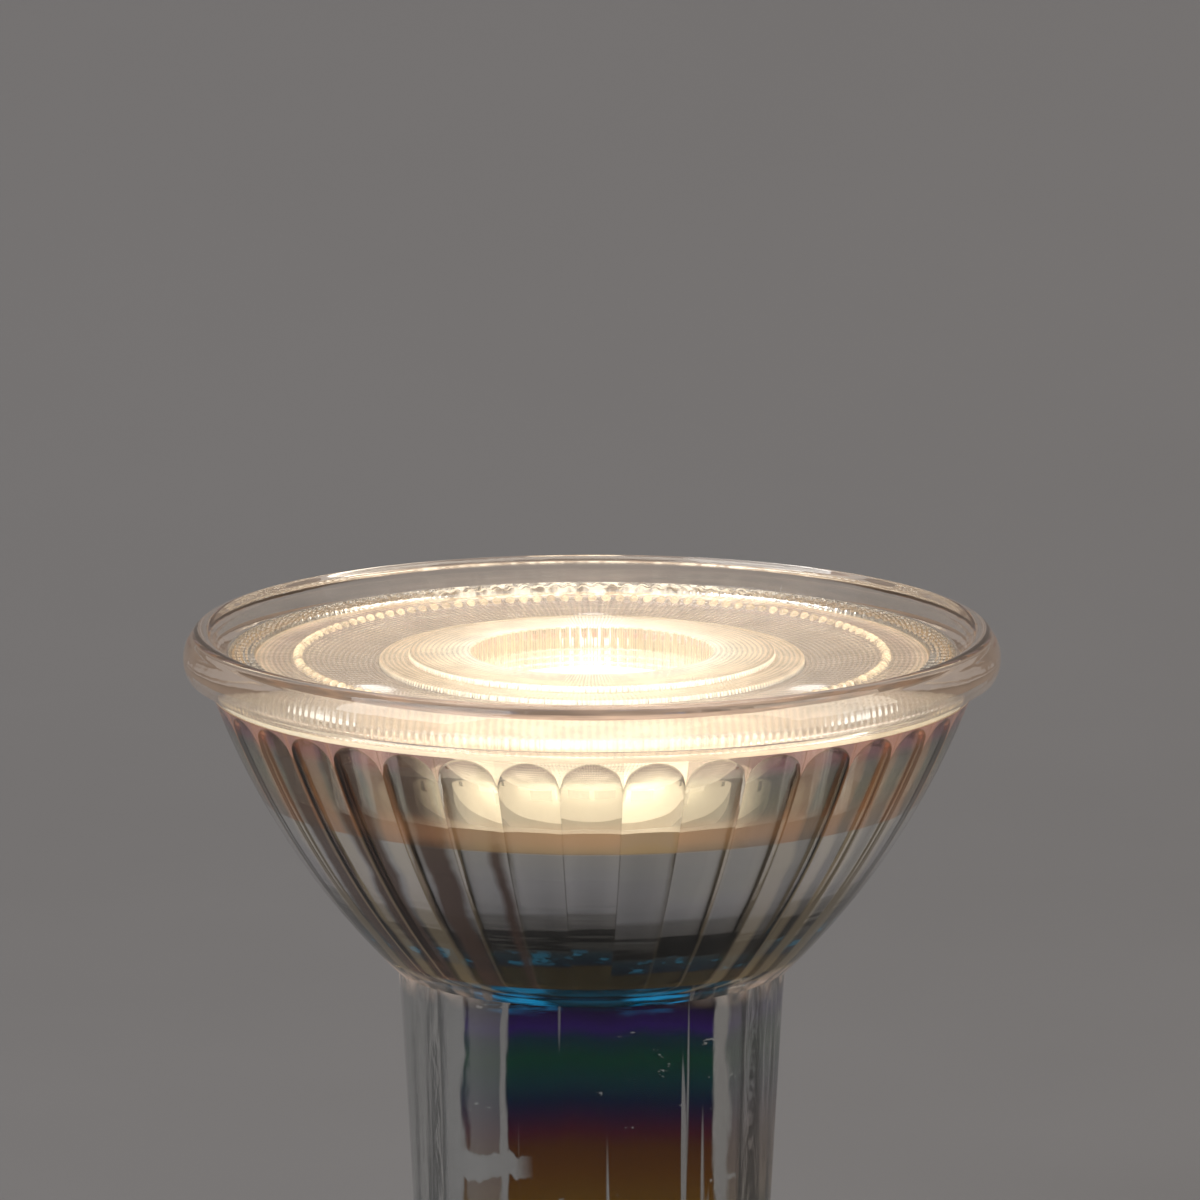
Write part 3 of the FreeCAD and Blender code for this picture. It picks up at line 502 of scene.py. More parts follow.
@dataclass(frozen=True)
class DichroicCavity(Finish):
    """The same film run down into the neck: dark, banded by its thickness, worn off at the corners.

    Levels are in millimetres up the lamp, and the spans across are from its middle plane. The cyan glints near
    the top are a painted glow, and the bare glass has a faint painted glow.
    """

    # The layers thin out down the neck, so the eye reads the thickness as bands of violet, green and orange.
    name: str = "dichroic_film_in_the_neck"
    bare: str = "#B2B2B4"
    levels: Point = (4.7, 29.1)
    spread: Point = (-9.55, 10.45)
    tear_levels: Point = (12.0, 20.0)

    def nodes(self) -> Recipe:
        """The nodes, in order."""
        return {
            **PLACE,
            **noise("ragged", (1100.0, 1100.0, 260.0), 4.0),
            **noise("wobble", (240.0, 240.0, 60.0), 3.0),
            "shifted": ("Math MULTIPLY_ADD", "wobble", 0.0014, "axes.Z"),
            "level": ("MapRange", "shifted", self.levels[0] * MM, self.levels[1] * MM),
            "film": ("ValToRGB", "level", [(0.0, "#3A2A6A"), (0.14, "#1D4A5A"), (0.24, "#2F5A2A"), (0.34, "#946C24"),
                (0.42, "#84541A"), (0.49, "#74421C"), (0.53, "#641E36"), (0.575, "#3C1A4C"), (0.61, "#0E2652"),
                (0.66, "#084C56"), (0.72, "#055A44"), (0.77, "#14445A"), (0.8, "#43208C"), (0.835, "#341466"),
                (0.86, "#14122A"), (0.9, "#12465E"), (1.0, "#14A0D8")]),
            "across": ("Math MULTIPLY_ADD", "ragged", 0.0009, "axes.X"),
            "width": ("MapRange", "across", self.spread[0] * MM, self.spread[1] * MM),
            "coating": ("ValToRGB", "width", [(0.0, 0.0), (0.12, 0.0), (0.127, 1.0), (0.136, 0.5), (0.215, 0.6),
                (0.22, 0.0), (0.237, 0.0), (0.243, 1.0), (0.858, 1.0), (0.864, 0.0), (0.892, 0.0), (0.897, 0.55),
                (0.93, 0.5), (0.935, 0.0)]),
            "rough_level": ("Math MULTIPLY_ADD", "ragged", 0.0022, "axes.Z"),
            "torn_level": ("MapRange", "rough_level", self.tear_levels[0] * MM, self.tear_levels[1] * MM),
            "torn": ("ValToRGB", "torn_level", [(0.0, 0.0), (0.36, 0.0), (0.38, 1.0), (0.56, 1.0), (0.58, 0.0),
                (1.0, 0.0)]),
            "torn_width": ("ValToRGB", "width", [(0.0, 1.0), (0.27, 1.0), (0.32, 0.0), (1.0, 0.0)]),
            "tear": ("Math MULTIPLY", "torn", "torn_width"),
            **noise("flecks", (520.0, 520.0, 900.0), 4.0, 0.7),
            "fleck": ("ValToRGB", "flecks", [(0.0, 0.0), (0.655, 0.0), (0.68, 1.0), (1.0, 1.0)]),
            **noise("scratches", (1500.0, 1500.0, 22.0), 1.0),
            "scratched": ("ValToRGB", "scratches", [(0.0, 0.0), (0.655, 0.0), (0.68, 0.9), (1.0, 0.9)]),
            "gone": ("Math MAXIMUM", "tear", "scratched"),
            "bared": ("Math MAXIMUM", "gone", "fleck"),
            "kept": ("Math SUBTRACT", 1.0, "bared"),
            "coat": ("Math MULTIPLY", "kept", "coating"),
            "crinkle": ("Bump", {"Strength": 0.3, "Distance": 0.0003, "Height": "ragged"}),
            # Painted cyan glints near the top of the neck, given as glow.
            **noise("glints", (420.0, 420.0, 3300.0), 3.0),
            "glint": ("MapRange", "glints", 0.44, 0.62),
            "glint_level": ("ValToRGB", "level", [(0.0, 0.0), (0.825, 0.0), (0.845, 0.25), (0.865, 0.9), (0.9, 1.0),
                (1.0, 1.0)]),
            "glint_width": ("ValToRGB", "width", [(0.18, 0.0), (0.22, 0.8), (0.38, 1.0), (0.42, 0.05), (0.57, 0.05),
                (0.61, 1.0), (0.72, 1.0), (0.76, 0.0)]),
            "glint_there": ("Math MULTIPLY", "glint_level", "glint_width"),
            "glinting": ("Math MULTIPLY", "glint_there", "glint"),
            "lamp_light": ("Math MULTIPLY", "glinting", 0.5),
            "mirror": ("BsdfPrincipled", {"Metallic": 0.95, "Roughness": 0.16, "Emission Color": "#1AA0E0",
                "Base Color": "film", "Normal": "crinkle", "Emission Strength": "lamp_light"}),
            # The bare glass carries a faint painted glow.
            "bare": ("BsdfPrincipled", {"Metallic": 0.85, "Roughness": 0.16, "Base Color": self.bare,
                "Emission Color": "#B4B4B6", "Emission Strength": 0.07, "Normal": "crinkle"}),
            "mixed": ("MixShader", "coat", "bare", "mirror"),
        }


@dataclass(frozen=True)
class OpticAcrylic(Finish):
    """Injection-moulded acrylic under a painted glow, as if lit from its foot: most over the LEDs, fading to the
    flange.
    """

    # The mould's fine rings and rays, drawn here coarser than real, give a fine bump and are painted into the glow as a
    # silky sheen.
    name: str = "acrylic_optic_moulded_painted_glow"
    radial_lines: int = 288
    ring_pitch_mm: float = 0.32
    border_radii: Point = (19.6, 21.6)
    spot_radii: Point = (18.9, 19.8)

    def nodes(self) -> Recipe:
        """The nodes, in order."""
        return {
            **PLACE, **ROUND, **FACING,
            "glow": ("Attribute glow",),
            "angle": ("Math ARCTAN2", "axes.Y", "axes.X"),
            "turns": ("Math MULTIPLY", "angle", float(self.radial_lines)),
            "rays": ("Math SINE", "turns"),
            "rings_turn": ("Math MULTIPLY", "distance.Value", 2 * math.pi / (self.ring_pitch_mm * MM)),
            "rings": ("Math SINE", "rings_turn"),
            "relief": ("Math ADD", "rays", "rings"),
            "shade": ("MapRange", "relief", -2.0, 2.0, 0.52, 1.42),
            "mottle": ("TexNoise", {"Scale": 420.0, "Detail": 3.0, "Vector": "place.Object"}),
            "cloud": ("MapRange", "mottle", 0.3, 0.7, 0.8, 1.2),
            "uneven": ("Math MULTIPLY", "shade", "cloud"),
            "side": ("NewGeometry",),
            "outside": ("Math SUBTRACT", 1.0, "side.Backfacing"),
            # Painted glow: the border is dimmed except in front.
            "border": ("MapRange", "distance.Value", self.border_radii[0] * MM, self.border_radii[1] * MM),
            "dimmed": ("Mix FLOAT", "border", {2: 1.0, 3: "facing"}),
            "even_glow": ("Math MULTIPLY", "uneven", "dimmed"),
            # Painted caustic spots on the border behind.
            "spot_place": ("CombineXYZ", {"X": "angle", "Y": "distance.Value"}),
            "spot_scale": ("Mapping", {"Scale": (17.0, 1700.0, 1.0), "Vector": "spot_place"}),
            "spots": ("TexNoise", {"Scale": 1.0, "Detail": 2.0, "Roughness": 0.6, "Vector": "spot_scale"}),
            "spot": ("ValToRGB", "spots", [(0.0, 0.0), (0.43, 0.0), (0.54, 0.9), (1.0, 1.0)]),
            "spot_zone": ("ValToRGB", "turn", [(0.0, 0.0), (0.8, 0.0), (0.9, 0.8), (1.0, 1.0)]),
            "spot_band": ("MapRange", "distance.Value", self.spot_radii[0] * MM, self.spot_radii[1] * MM),
            "spot_there": ("Math MULTIPLY", "spot_zone", "spot_band"),
            "caustic": ("Math MULTIPLY", "spot", "spot_there"),
            "colour": ("Mix RGBA", "caustic", {6: "glow.Color", 7: "#FFF0D6"}),
            "lifted": ("Math MAXIMUM", "even_glow", "caustic"),
            "strength": ("Math MULTIPLY", "lifted", "outside"),
            "bump": ("Bump", {"Strength": 0.25, "Distance": 0.0001, "Height": "relief"}),
            "acrylic": ("BsdfPrincipled", {"Base Color": "#F2EFE8", "Transmission Weight": 0.9, "Roughness": 0.1,
                "IOR": ACRYLIC_IOR, "Normal": "bump", "Emission Color": "colour.2", "Emission Strength": "strength"}),
        }


@dataclass(frozen=True)
class GlowingBeads(Finish):
    """Polished acrylic beads of the lens, each with a painted glow as a bright dash, strongest in front."""

    # Each polished bead is a small lens; the bright dash on it is a painted glow.
    name: str = "acrylic_beads_polished"

    def nodes(self) -> Recipe:
        """The nodes, in order."""
        return {
            **PLACE,
            "distance": ("VectorMath LENGTH", "place.Object"),
            **FACING,
            "uneven": ("TexNoise", {"Scale": 900.0, "Vector": "place.Object"}),
            "bright": ("MapRange", "uneven", 0.35, 0.65, 0.3, 1.5),
            "evened": ("Math POWER", "facing", 0.6),
            "strength": ("Math MULTIPLY", "bright", "evened"),
            "acrylic": ("BsdfPrincipled", {"Base Color": "#F4EFE4", "Transmission Weight": 0.9, "Roughness": 0.08,
                "IOR": ACRYLIC_IOR, "Emission Color": "#FFE0B4", "Emission Strength": "strength"}),
        }


@dataclass(frozen=True)
class Grained(Finish):
    """A finish for a solid that keeps its own mesh: a base colour with grain, uneven gloss and fine relief."""

    name: str
    colour: str
    second: str
    grain_mm: float
    metallic: float = 0.0
    rough_low: float = 0.3
    rough_high: float = 0.5
    relief: float = 0.1
    stretch: tuple[float, float, float] = (1.0, 1.0, 1.0)
    glow: str = "#000000"
    glow_strength: float = 0.0

    @property
    def is_lamp(self) -> bool:
        """Whether rays are aimed at its glow: yes, if it has one."""
        return self.glow_strength > 0

    def nodes(self) -> Recipe:
        """The nodes, in order."""
        # A glow is the phosphor's own light, or else a painted glow on a part that is no lamp.
        glow = {"Emission Color": self.glow, "Emission Strength": self.glow_strength} if self.is_lamp else {}
        return {
            "place": ("TexCoord",),
            "turned": ("Mapping", {"Scale": self.stretch, "Vector": "place.Object"}),
            "grain": ("TexNoise", {"Scale": 1 / (self.grain_mm * MM), "Detail": 4.0, "Roughness": 0.6,
                "Vector": "turned"}),
            "tone": ("ValToRGB", "grain", [(0.35, self.colour), (0.65, self.second)]),
            "gloss": ("MapRange", "grain", 0.3, 0.7, self.rough_low, self.rough_high),
            "bump": ("Bump", {"Strength": self.relief, "Distance": self.grain_mm * MM / 4, "Height": "grain"}),
            "body": ("BsdfPrincipled", {"Metallic": self.metallic, **glow, "Base Color": "tone", "Roughness": "gloss",
                "Normal": "bump"}),
        }


@dataclass(frozen=True)
class AluminiumPaintedGlow(Finish):
    """Stamped aluminium of the heat spreader, with a fine drawing grain and a painted glow of the LEDs' light on its
    top.
    """

    # Deep drawing stretches the metal's grain: a satin edge with a soft, streaked highlight.
    name: str = "aluminium_stamped"

    def nodes(self) -> Recipe:
        """The nodes, in order."""
        return {
            **PLACE, **ROUND, **FACING,
            "drawn": ("Mapping", {"Scale": (1.0, 1.0, 9.0), "Vector": "place.Object"}),
            "grain": ("TexNoise", {"Scale": 1400.0, "Detail": 3.0, "Vector": "drawn"}),
            "gloss": ("MapRange", "grain", 0.0, 1.0, 0.25, 0.5),
            # Painted glow on the top, strongest in front.
            "lit": ("MapRange", "axes.Z", 36.3 * MM, 36.42 * MM, 0.0, 0.2),
            "glow": ("Math MULTIPLY", "lit", "facing"),
            "metal": ("BsdfPrincipled", {"Base Color": "#D2D3D4", "Metallic": 1.0, "Emission Color": "#FFD9A0",
                "Roughness": "gloss", "Emission Strength": "glow"}),
        }


# The pressed glass


@dataclass
class PressedBowl:
    """The glass: a beaded rim, a bowl fluted on its inside, and a flattened, ribbed neck with two pin holes."""

    rim_radius: float = 25.0
    bead_level: float = 45.1
    lip_radius: float = 22.4
    lip_rise: float = 0.4
    ledge_level: float = 43.4
    foot_level: float = 26.1
    floor_level: float = 27.8
    curve_level: float = 59.7
    curve_offset: float = 21.6
    outer_curve: float = 47.8
    bead_curve: float = 1.98
    crown_curve: float = 0.66
    bowl_steps: int = 16
    bead_steps: int = 12
    crown_steps: int = 10
    edge_steps: int = 3
    wall: float = 1.9
    flute_count: int = 36
    flute_depth: float = 0.28
    flute_curve: float = 5.93
    arch_angle: float = 23.15
    flute_foot_angle: float = 43.6
    columns_per_flute: int = 16
    ledge_steps: int = 5
    arch_steps: int = 9
    flute_steps: int = 24
    neck_width: float = 23.7
    neck_depth: float = 16.8
    neck_corner: float = 6.0
    neck_draft: float = 3.2
    base_bevel: float = 1.4
    base_thickness: float = 3.6
    cavity_width: float = 17.2
    cavity_depth: float = 12.4
    cavity_corner: float = 3.0
    cavity_draft: float = 1.0
    rib_pitch: float = 1.8
    rib_depth: float = 0.05
    pin_spacing: float = 10.0
    hole_radius: float = 1.6
    hole_sides: int = 48

    def angles(self) -> np.ndarray:
        """Angles of the columns, in radians, with a ridge at the first column and a flute in front."""
        count = self.flute_count * self.columns_per_flute
        return np.radians(-90 - 180 / self.flute_count + 360 / count * np.arange(count))

    def aside(self) -> np.ndarray:
        """Angle of each column from the middle of its flute, in radians."""
        pitch = 2 * math.pi / self.flute_count
        return np.abs((self.angles() + math.pi / 2 + pitch / 2) % pitch - pitch / 2)

    def circle(self, radius: float | np.ndarray, level: float | np.ndarray) -> np.ndarray:
        """Points of one ring of the glass.

        Args:
            radius: the radius at each column, or one for all.
            level: the height at each column, or one for all.

        Returns:
            An array of points, in millimetres.
        """
        turn = self.angles()
        ring = np.zeros((len(turn), 3))
        ring[:, 0] = radius * np.cos(turn)
        ring[:, 1] = radius * np.sin(turn)
        ring[:, 2] = level
        return ring

    def rounded_radius(self, width: float, depth: float, corner: float) -> np.ndarray:
        """Radius of a rounded rectangle at each column."""
        turn = self.angles()
        c, s = np.abs(np.cos(turn)), np.abs(np.sin(turn))
        a, b = width / 2, depth / 2
        side = a / np.maximum(c, 1e-9)
        top = b / np.maximum(s, 1e-9)
        px, py = a - corner, b - corner
        along = c * px + s * py
        inside = np.maximum(along * along - (px * px + py * py) + corner * corner, 0)
        around = along + np.sqrt(inside)
        return np.where(side * s <= py, side, np.where(top * c <= px, top, around))

    def rib(self, width: float, depth: float, corner: float) -> np.ndarray:
        """How far each column lies inside the neck's outline, for its shallow upright ribs."""
        radius = self.rounded_radius(width, depth, corner)
        ring = self.circle(radius, 0.0)
        steps = np.linalg.norm(np.roll(ring, -1, axis=0) - ring, axis=1)
        walked = np.concatenate([[0.0], np.cumsum(steps)[:-1]])
        count = round(float(steps.sum()) / self.rib_pitch)
        wave = 0.5 - 0.5 * np.cos(2 * np.pi * walked / steps.sum() * count)
        return self.rib_depth * wave

    def outer_rings(self) -> list[np.ndarray]:
        """Rings of the outer skin, from the base's edge up to the lip and down to the ledge."""
        rings = []
        draw = math.tan(math.radians(self.neck_draft))
        for level in (0.0, 0.45, 0.95, self.base_bevel, self.base_bevel + 0.6, 4.0, 8.0, 13.0, 18.0, 22.0, 24.6):
            inset = (self.foot_level - max(level, self.base_bevel)) * draw
            inset += max(self.base_bevel - level, 0.0)
            width, depth = self.neck_width - 2 * inset, self.neck_depth - 2 * inset
            corner = self.neck_corner - inset
            radius = self.rounded_radius(width, depth, corner)
            fade = min(max((level - 1.0) / 2.0, 0.0), 1.0) * min(max((25.6 - level) / 1.5, 0.0), 1.0)
            rings.append(self.circle(radius - fade * self.rib(width, depth, corner), level))
        radius = self.rounded_radius(self.neck_width, self.neck_depth, self.neck_corner)
        rings.append(self.circle(radius, self.foot_level - 0.25))
        rings.append(self.circle(radius + 0.04, self.foot_level - 0.06))
        foot = math.sqrt(self.outer_curve ** 2 - (self.curve_level - self.foot_level) ** 2) - self.curve_offset
        rings.append(self.circle(np.minimum(radius + 0.25, foot - 0.05), self.foot_level))
        top = self.bead_level - 1.25
        bowl_top = math.sqrt(self.outer_curve ** 2 - (self.curve_level - top) ** 2) - self.curve_offset
        start, end = (foot, self.foot_level), (bowl_top, top)
        rim = self.rim_radius
        flange = (rim - 0.2, self.bead_level - 0.7)
        crown_out = (rim - 0.5, self.bead_level + 1.45)
        crown_in = (rim - 1.6, self.bead_level + 1.66)
        lip = (self.lip_radius, self.bead_level + self.lip_rise)
        ledge = (self.lip_radius, self.ledge_level)
        line = [start, *arc_points(start, end, self.outer_curve, self.bowl_steps)]
        line += straight_points(end, flange, self.edge_steps)
        line += arc_points(flange, crown_out, self.bead_curve, self.bead_steps)
        line += arc_points(crown_out, crown_in, self.crown_curve, self.crown_steps)
        line += straight_points(crown_in, lip, self.edge_steps)
        line += straight_points(lip, ledge, self.edge_steps)
        rings += [self.circle(radius, level) for radius, level in line]
        return rings

    def fluted_rings(self) -> tuple[list[np.ndarray], list[np.ndarray]]:
        """Rings of the fluted inner wall, from the ledge to the floor.

        Returns:
            The rings, and for each the distance below the arch line in millimetres, for the film's finish.
        """
        inner = self.outer_curve - self.wall
        top_angle = math.asin((self.curve_level - self.ledge_level) / inner)
        arch_angle = math.radians(self.arch_angle)
        foot_angle = math.radians(self.flute_foot_angle)
        floor_angle = math.asin((self.curve_level - self.floor_level) / inner)
        aside = self.aside()
        half_width = math.sqrt(self.flute_curve ** 2 - (self.flute_curve - self.flute_depth) ** 2)
        arch_radius = inner * math.cos(arch_angle) - self.curve_offset
        across = np.minimum(aside * arch_radius, half_width)
        arch_rise = np.sqrt(np.maximum(half_width ** 2 - across ** 2, 0.0)) / inner
        boundary = arch_angle - arch_rise
        rings, below = [], []

        def ring(angle: np.ndarray, drop: np.ndarray) -> None:
            """Add a ring at a meridian angle, pushed out by the flute's depth there."""
            radius = inner * np.cos(angle) - self.curve_offset
            spread = (aside * radius) ** 2 + (inner * np.maximum(arch_angle - angle, 0.0)) ** 2
            depth = self.flute_depth - self.flute_curve + np.sqrt(np.maximum(self.flute_curve ** 2 - spread, 0.0))
            depth = np.maximum(depth, 0.0) * drop
            reach = inner + depth
            level = self.curve_level - reach * np.sin(angle)
            rings.append(self.circle(reach * np.cos(angle) - self.curve_offset, level))
            below.append(inner * (angle - boundary))

        full = np.ones_like(aside)
        for step in range(self.ledge_steps):
            ring(top_angle + (boundary - top_angle) * step / self.ledge_steps, full * 0)
        for step in range(self.arch_steps):
            ring(boundary + (arch_angle - boundary) * step / self.arch_steps, full)
        for step in range(self.flute_steps + 1):
            ring(full * (arch_angle + (foot_angle - arch_angle) * step / self.flute_steps), full)
        ring(full * (foot_angle + 0.002), full * 0)
        ring(full * floor_angle, full * 0)
        return rings, below

    def cavity_rings(self) -> list[np.ndarray]:
        """Rings of the neck's cavity, from the bowl's floor down to the base."""
        rings = []
        for level in (self.floor_level, self.floor_level - 0.2, 24.0, 18.0, 12.0, 7.0, 3.9, self.base_thickness):
            inset = (self.floor_level - level) * math.tan(math.radians(self.cavity_draft))
            ease = -0.12 if level == self.floor_level else 0.0
            radius = self.rounded_radius(
                self.cavity_width - 2 * (inset + ease), self.cavity_depth - 2 * (inset + ease),
                self.cavity_corner - inset,
            )
            rings.append(self.circle(radius, level))
        return rings

    def build(self) -> Object:
        """Build the glass as one closed mesh.

        Returns:
            The object, with the flutes' attributes on its mesh and no materials yet.
        """
        outer = self.outer_rings()
        fluted, below = self.fluted_rings()
        cavity = self.cavity_rings()
        rings = outer + fluted + cavity
        columns = len(self.angles())
        points = np.concatenate(rings) * MM
        faces, zones, numbers = [], [], []
        first_fluted, first_cavity = len(outer), len(outer) + len(fluted)
        for row in range(len(rings) - 1):
            zone = GlassZone.SKIN
            if first_fluted <= row < first_cavity:
                zone = GlassZone.FLUTES
            if row >= first_cavity:
                zone = GlassZone.CAVITY
            for column in range(columns):
                following = (column + 1) % columns
                low, high = row * columns, (row + 1) * columns
                faces.append((low + column, low + following, high + following, high + column))
                zones.append(zone.value)
                numbers.append(column // self.columns_per_flute)
        mesh = bpy.data.meshes.new("pressed_glass")
        mesh.from_pydata(points.tolist(), [], faces)
        aside = self.aside() / (math.pi / self.flute_count)
        depths = np.full((len(rings), columns), 9.0)
        depths[first_fluted:first_cavity] = np.array(below)
        for name, values in (("flute_across", np.tile(aside, len(rings))), ("below_arch", depths.ravel())):
            attribute = mesh.attributes.new(name, "FLOAT", "POINT")
            attribute.data.foreach_set("value", values.astype(np.float32))
        attribute = mesh.attributes.new("flute_number", "FLOAT", "FACE")
        attribute.data.foreach_set("value", np.array(numbers, np.float32))
        mesh.polygons.foreach_set("material_index", zones)
        self.close_base(mesh, columns, len(rings))
        smooth(mesh, sharp_degrees=16)
        return mesh_object("pressed_glass", mesh)

    def close_base(self, mesh: Mesh, columns: int, rows: int) -> None:
        """Close the base around its two pin holes.

        Args:
            mesh: the open mesh, changed in place.
            columns: how many points each ring has.
            rows: how many rings there are.
        """
        form = bmesh.new()
        form.from_mesh(mesh)
        form.verts.ensure_lookup_table()
        bottom = [form.verts[i] for i in range(columns)]
        ceiling = [form.verts[(rows - 1) * columns + i] for i in range(columns)]
        holes = []
        for side in Side:
            middle = side.value * self.pin_spacing / 2
            turns = [2 * math.pi * i / self.hole_sides for i in range(self.hole_sides)]
            holes.append([[
                form.verts.new(Vector((
                    middle + self.hole_radius * math.cos(turn), self.hole_radius * math.sin(turn), level,
                )) * MM) for turn in turns
            ] for level in (0.0, self.base_thickness)])
        for loop, index in ((bottom, 0), (ceiling, 1)):
            edges = []
            for ring in [loop, holes[0][index], holes[1][index]]:
                for i, vert in enumerate(ring):
                    after = ring[(i + 1) % len(ring)]
                    edges.append(form.edges.get((vert, after)) or form.edges.new((vert, after)))
            made = bmesh.ops.triangle_fill(form, use_beauty=True, use_dissolve=False, edges=edges)
            for item in made["geom"]:
                if isinstance(item, bmesh.types.BMFace):
                    item.material_index = GlassZone.SKIN.value
        for pair in holes:
            bridge(form, pair)
        bmesh.ops.recalc_face_normals(form, faces=form.faces)
        form.to_mesh(mesh)
        form.free()

    def dress(self, piece: Object) -> None:
        """Give the skin, the flutes and the cavity their finishes."""
        for finish in (PressedGlass(), DichroicFlutes(), DichroicCavity()):
            piece.data.materials.append(finish.build())


# The moulded lens


@dataclass
class RingedLens:
    """The front lens: serrated border, bead ring, ringed dish, recessed eye, collimator and three legs."""

    radius: float = 22.25
    top: float = 45.5
    underside: float = 43.7
    border_width: float = 1.65
    border_step: float = 0.35
    bead_radius: float = 18.0
    bead_size: float = 0.3
    bead_count: int = 128
    dish_radius: float = 13.0
    dish_level: float = 44.7
    ring_radius: float = 11.2
    ring_height: float = 0.4
    recess_radius: float = 7.4
    recess_level: float = 42.9
    eye_curve: float = 26.0
    web: float = 1.3
    foot_level: float = 38.7
    foot_radius: float = 7.3
    collimator_curve: float = 16.0
    collimator_steps: int = 10
    window_radius: float = 6.1
    window_height: float = 2.3
    leg_radius: float = 1.1
    leg_circle: float = 15.2
    leg_count: int = 3
    leg_sides: int = 32
    spreader_level: float = 36.4
    columns: int = 576
    teeth: int = 144
    tooth_depth: float = 0.14
    serration_depth: float = 0.07
    ray_depth: float = 0.012
    wall_serrations: int = 72

    def profile(self) -> list[tuple[float, float, str, str, float]]:
        """The turned outline, from the eye out over the top, and back under to the LED window.

        Returns:
            Radius, height, the name of the relief, the colour of the painted glow and its strength at each point.
        """
        border = self.radius - self.border_width
        step = self.top - self.border_step
        ring = self.dish_level + self.ring_height
        shoulder = ring + self.ring_height
        eye_rise = self.eye_curve - math.sqrt(self.eye_curve ** 2 - self.recess_radius ** 2)
        line: list[tuple[float, float, str, str, float]] = []
        for share in (0.06, 0.25, 0.45, 0.65, 0.85, 0.97):
            radius = self.recess_radius * share
            rise = math.sqrt(self.eye_curve ** 2 - radius ** 2) - self.eye_curve + eye_rise
            line.append((radius, self.recess_level + rise, "", "#FFFDF2", 1.0))
        edge, out, dish, floor = self.recess_radius, self.ring_radius, self.dish_radius, self.dish_level
        line += [
            (edge, self.recess_level + 0.02, "wall", "#FFE2B4", 0.7), (edge, 44.2, "wall", "#EFC894", 0.5),
            (edge + 0.02, shoulder - 0.1, "wall", "#F2CFA0", 0.5), (edge + 0.12, shoulder, "", "#FFEFD2", 0.7),
        ]
        for radius, glow in ((8.4, "#FAE6C6"), (9.4, "#F0D2AC"), (10.4, "#E8C8A2")):
            sag = 0.05 * math.sin(math.pi * (radius - 7.4) / 3.8)
            line.append((radius, shoulder - sag, "", glow, 0.6))
        line += [
            (out - 0.08, shoulder, "", "#DAB68C", 0.5), (out, shoulder - 0.08, "", "#FFE6C2", 0.8),
            (out + 0.04, ring + 0.04, "", "#C49C74", 0.4), (out + 0.2, ring, "", "#E4C29A", 0.5),
            (dish - 0.1, ring, "", "#DCBA94", 0.5), (dish, ring - 0.08, "", "#F6D8B0", 0.7),
            (dish + 0.04, floor + 0.04, "", "#8E7664", 0.3), (dish + 0.2, floor, "", "#A88E7C", 0.4),
        ]
        beads = self.bead_radius
        for share in (0.2, 0.4, 0.6, 0.8, 1.0):
            radius = dish + 0.2 + (beads - 0.55 - dish) * share
            line.append((radius, floor + (step - floor) * share, "rays", "#AA9280", 0.45))
        for turn in (0.15, 0.5, 0.85):
            line.append((beads - 0.35 + 0.7 * turn, step + 0.16 * math.sin(math.pi * turn), "", "#A88C74", 0.45))
        rim, top, under = self.radius, self.top, self.underside
        web_level = floor - self.web
        line += [
            (beads + 0.4, step, "rays", "#A78C76", 0.45), (19.5, step, "rays", "#B0957E", 0.5),
            (border - 0.05, step, "", "#E0C09A", 0.7), (border, step + 0.08, "", "#6A5A48", 0.3),
            (border + 0.05, top, "teeth", "#6A5A48", 0.15), (border + 0.6, top, "teeth", "#6A5A48", 0.15),
            (rim - 0.3, top, "teeth", "#84705C", 0.3), (rim - 0.06, top, "", "#A98F74", 0.4),
            (rim, top - 0.06, "", "#E8C4A0", 0.45), (rim, under + 0.05, "", "#FFD8B8", 0.55),
            (rim - 0.05, under, "", "#FFD8B8", 0.35), (beads, under, "", "#D9B890", 0.1),
            (beads, web_level, "", "#D9B890", 0.12), (dish, web_level, "", "#FBE6C8", 0.6),
        ]
        foot = (self.foot_radius, self.foot_level)
        collimator = arc_points((dish, web_level), foot, -self.collimator_curve, self.collimator_steps)
        line += [(radius, level, "", "#FFEDD2", 0.9) for radius, level in collimator]
        window, window_top = self.window_radius, self.foot_level + self.window_height
        line += [
            (window, self.foot_level, "", "#FFE9C4", 0.75), (window, window_top, "", "#FFF2D8", 1.5),
            (window * 0.5, window_top + 0.29, "", "#FFF2D8", 1.5),
            (0.3, window_top + self.window_height / 4, "", "#FFF2D8", 1.5),
        ]
        return line

    def build(self) -> Object:
        """Build the lens and its legs as one mesh."""
        turn = 2 * math.pi * np.arange(self.columns) / self.columns
        line = self.profile()
        form = bmesh.new()
        lit = form.verts.layers.float_color.new("glow")
        rows = []
        for radius, level, relief, glow, strength in line:
            r, z = np.full(self.columns, radius), np.full(self.columns, level)
            if relief == "teeth":
                z = z - self.tooth_depth * (0.5 + 0.5 * np.sign(np.sin(self.teeth * turn + 0.01)))
            if relief == "wall":
                r = r + self.serration_depth * np.sin(self.wall_serrations * turn)
            if relief == "rays":
                z = z + self.ray_depth * np.sin(self.teeth * turn)
            rows.append([
                form.verts.new((a * math.cos(t) * MM, a * math.sin(t) * MM, b * MM)) for a, b, t in zip(r, z, turn)
            ])
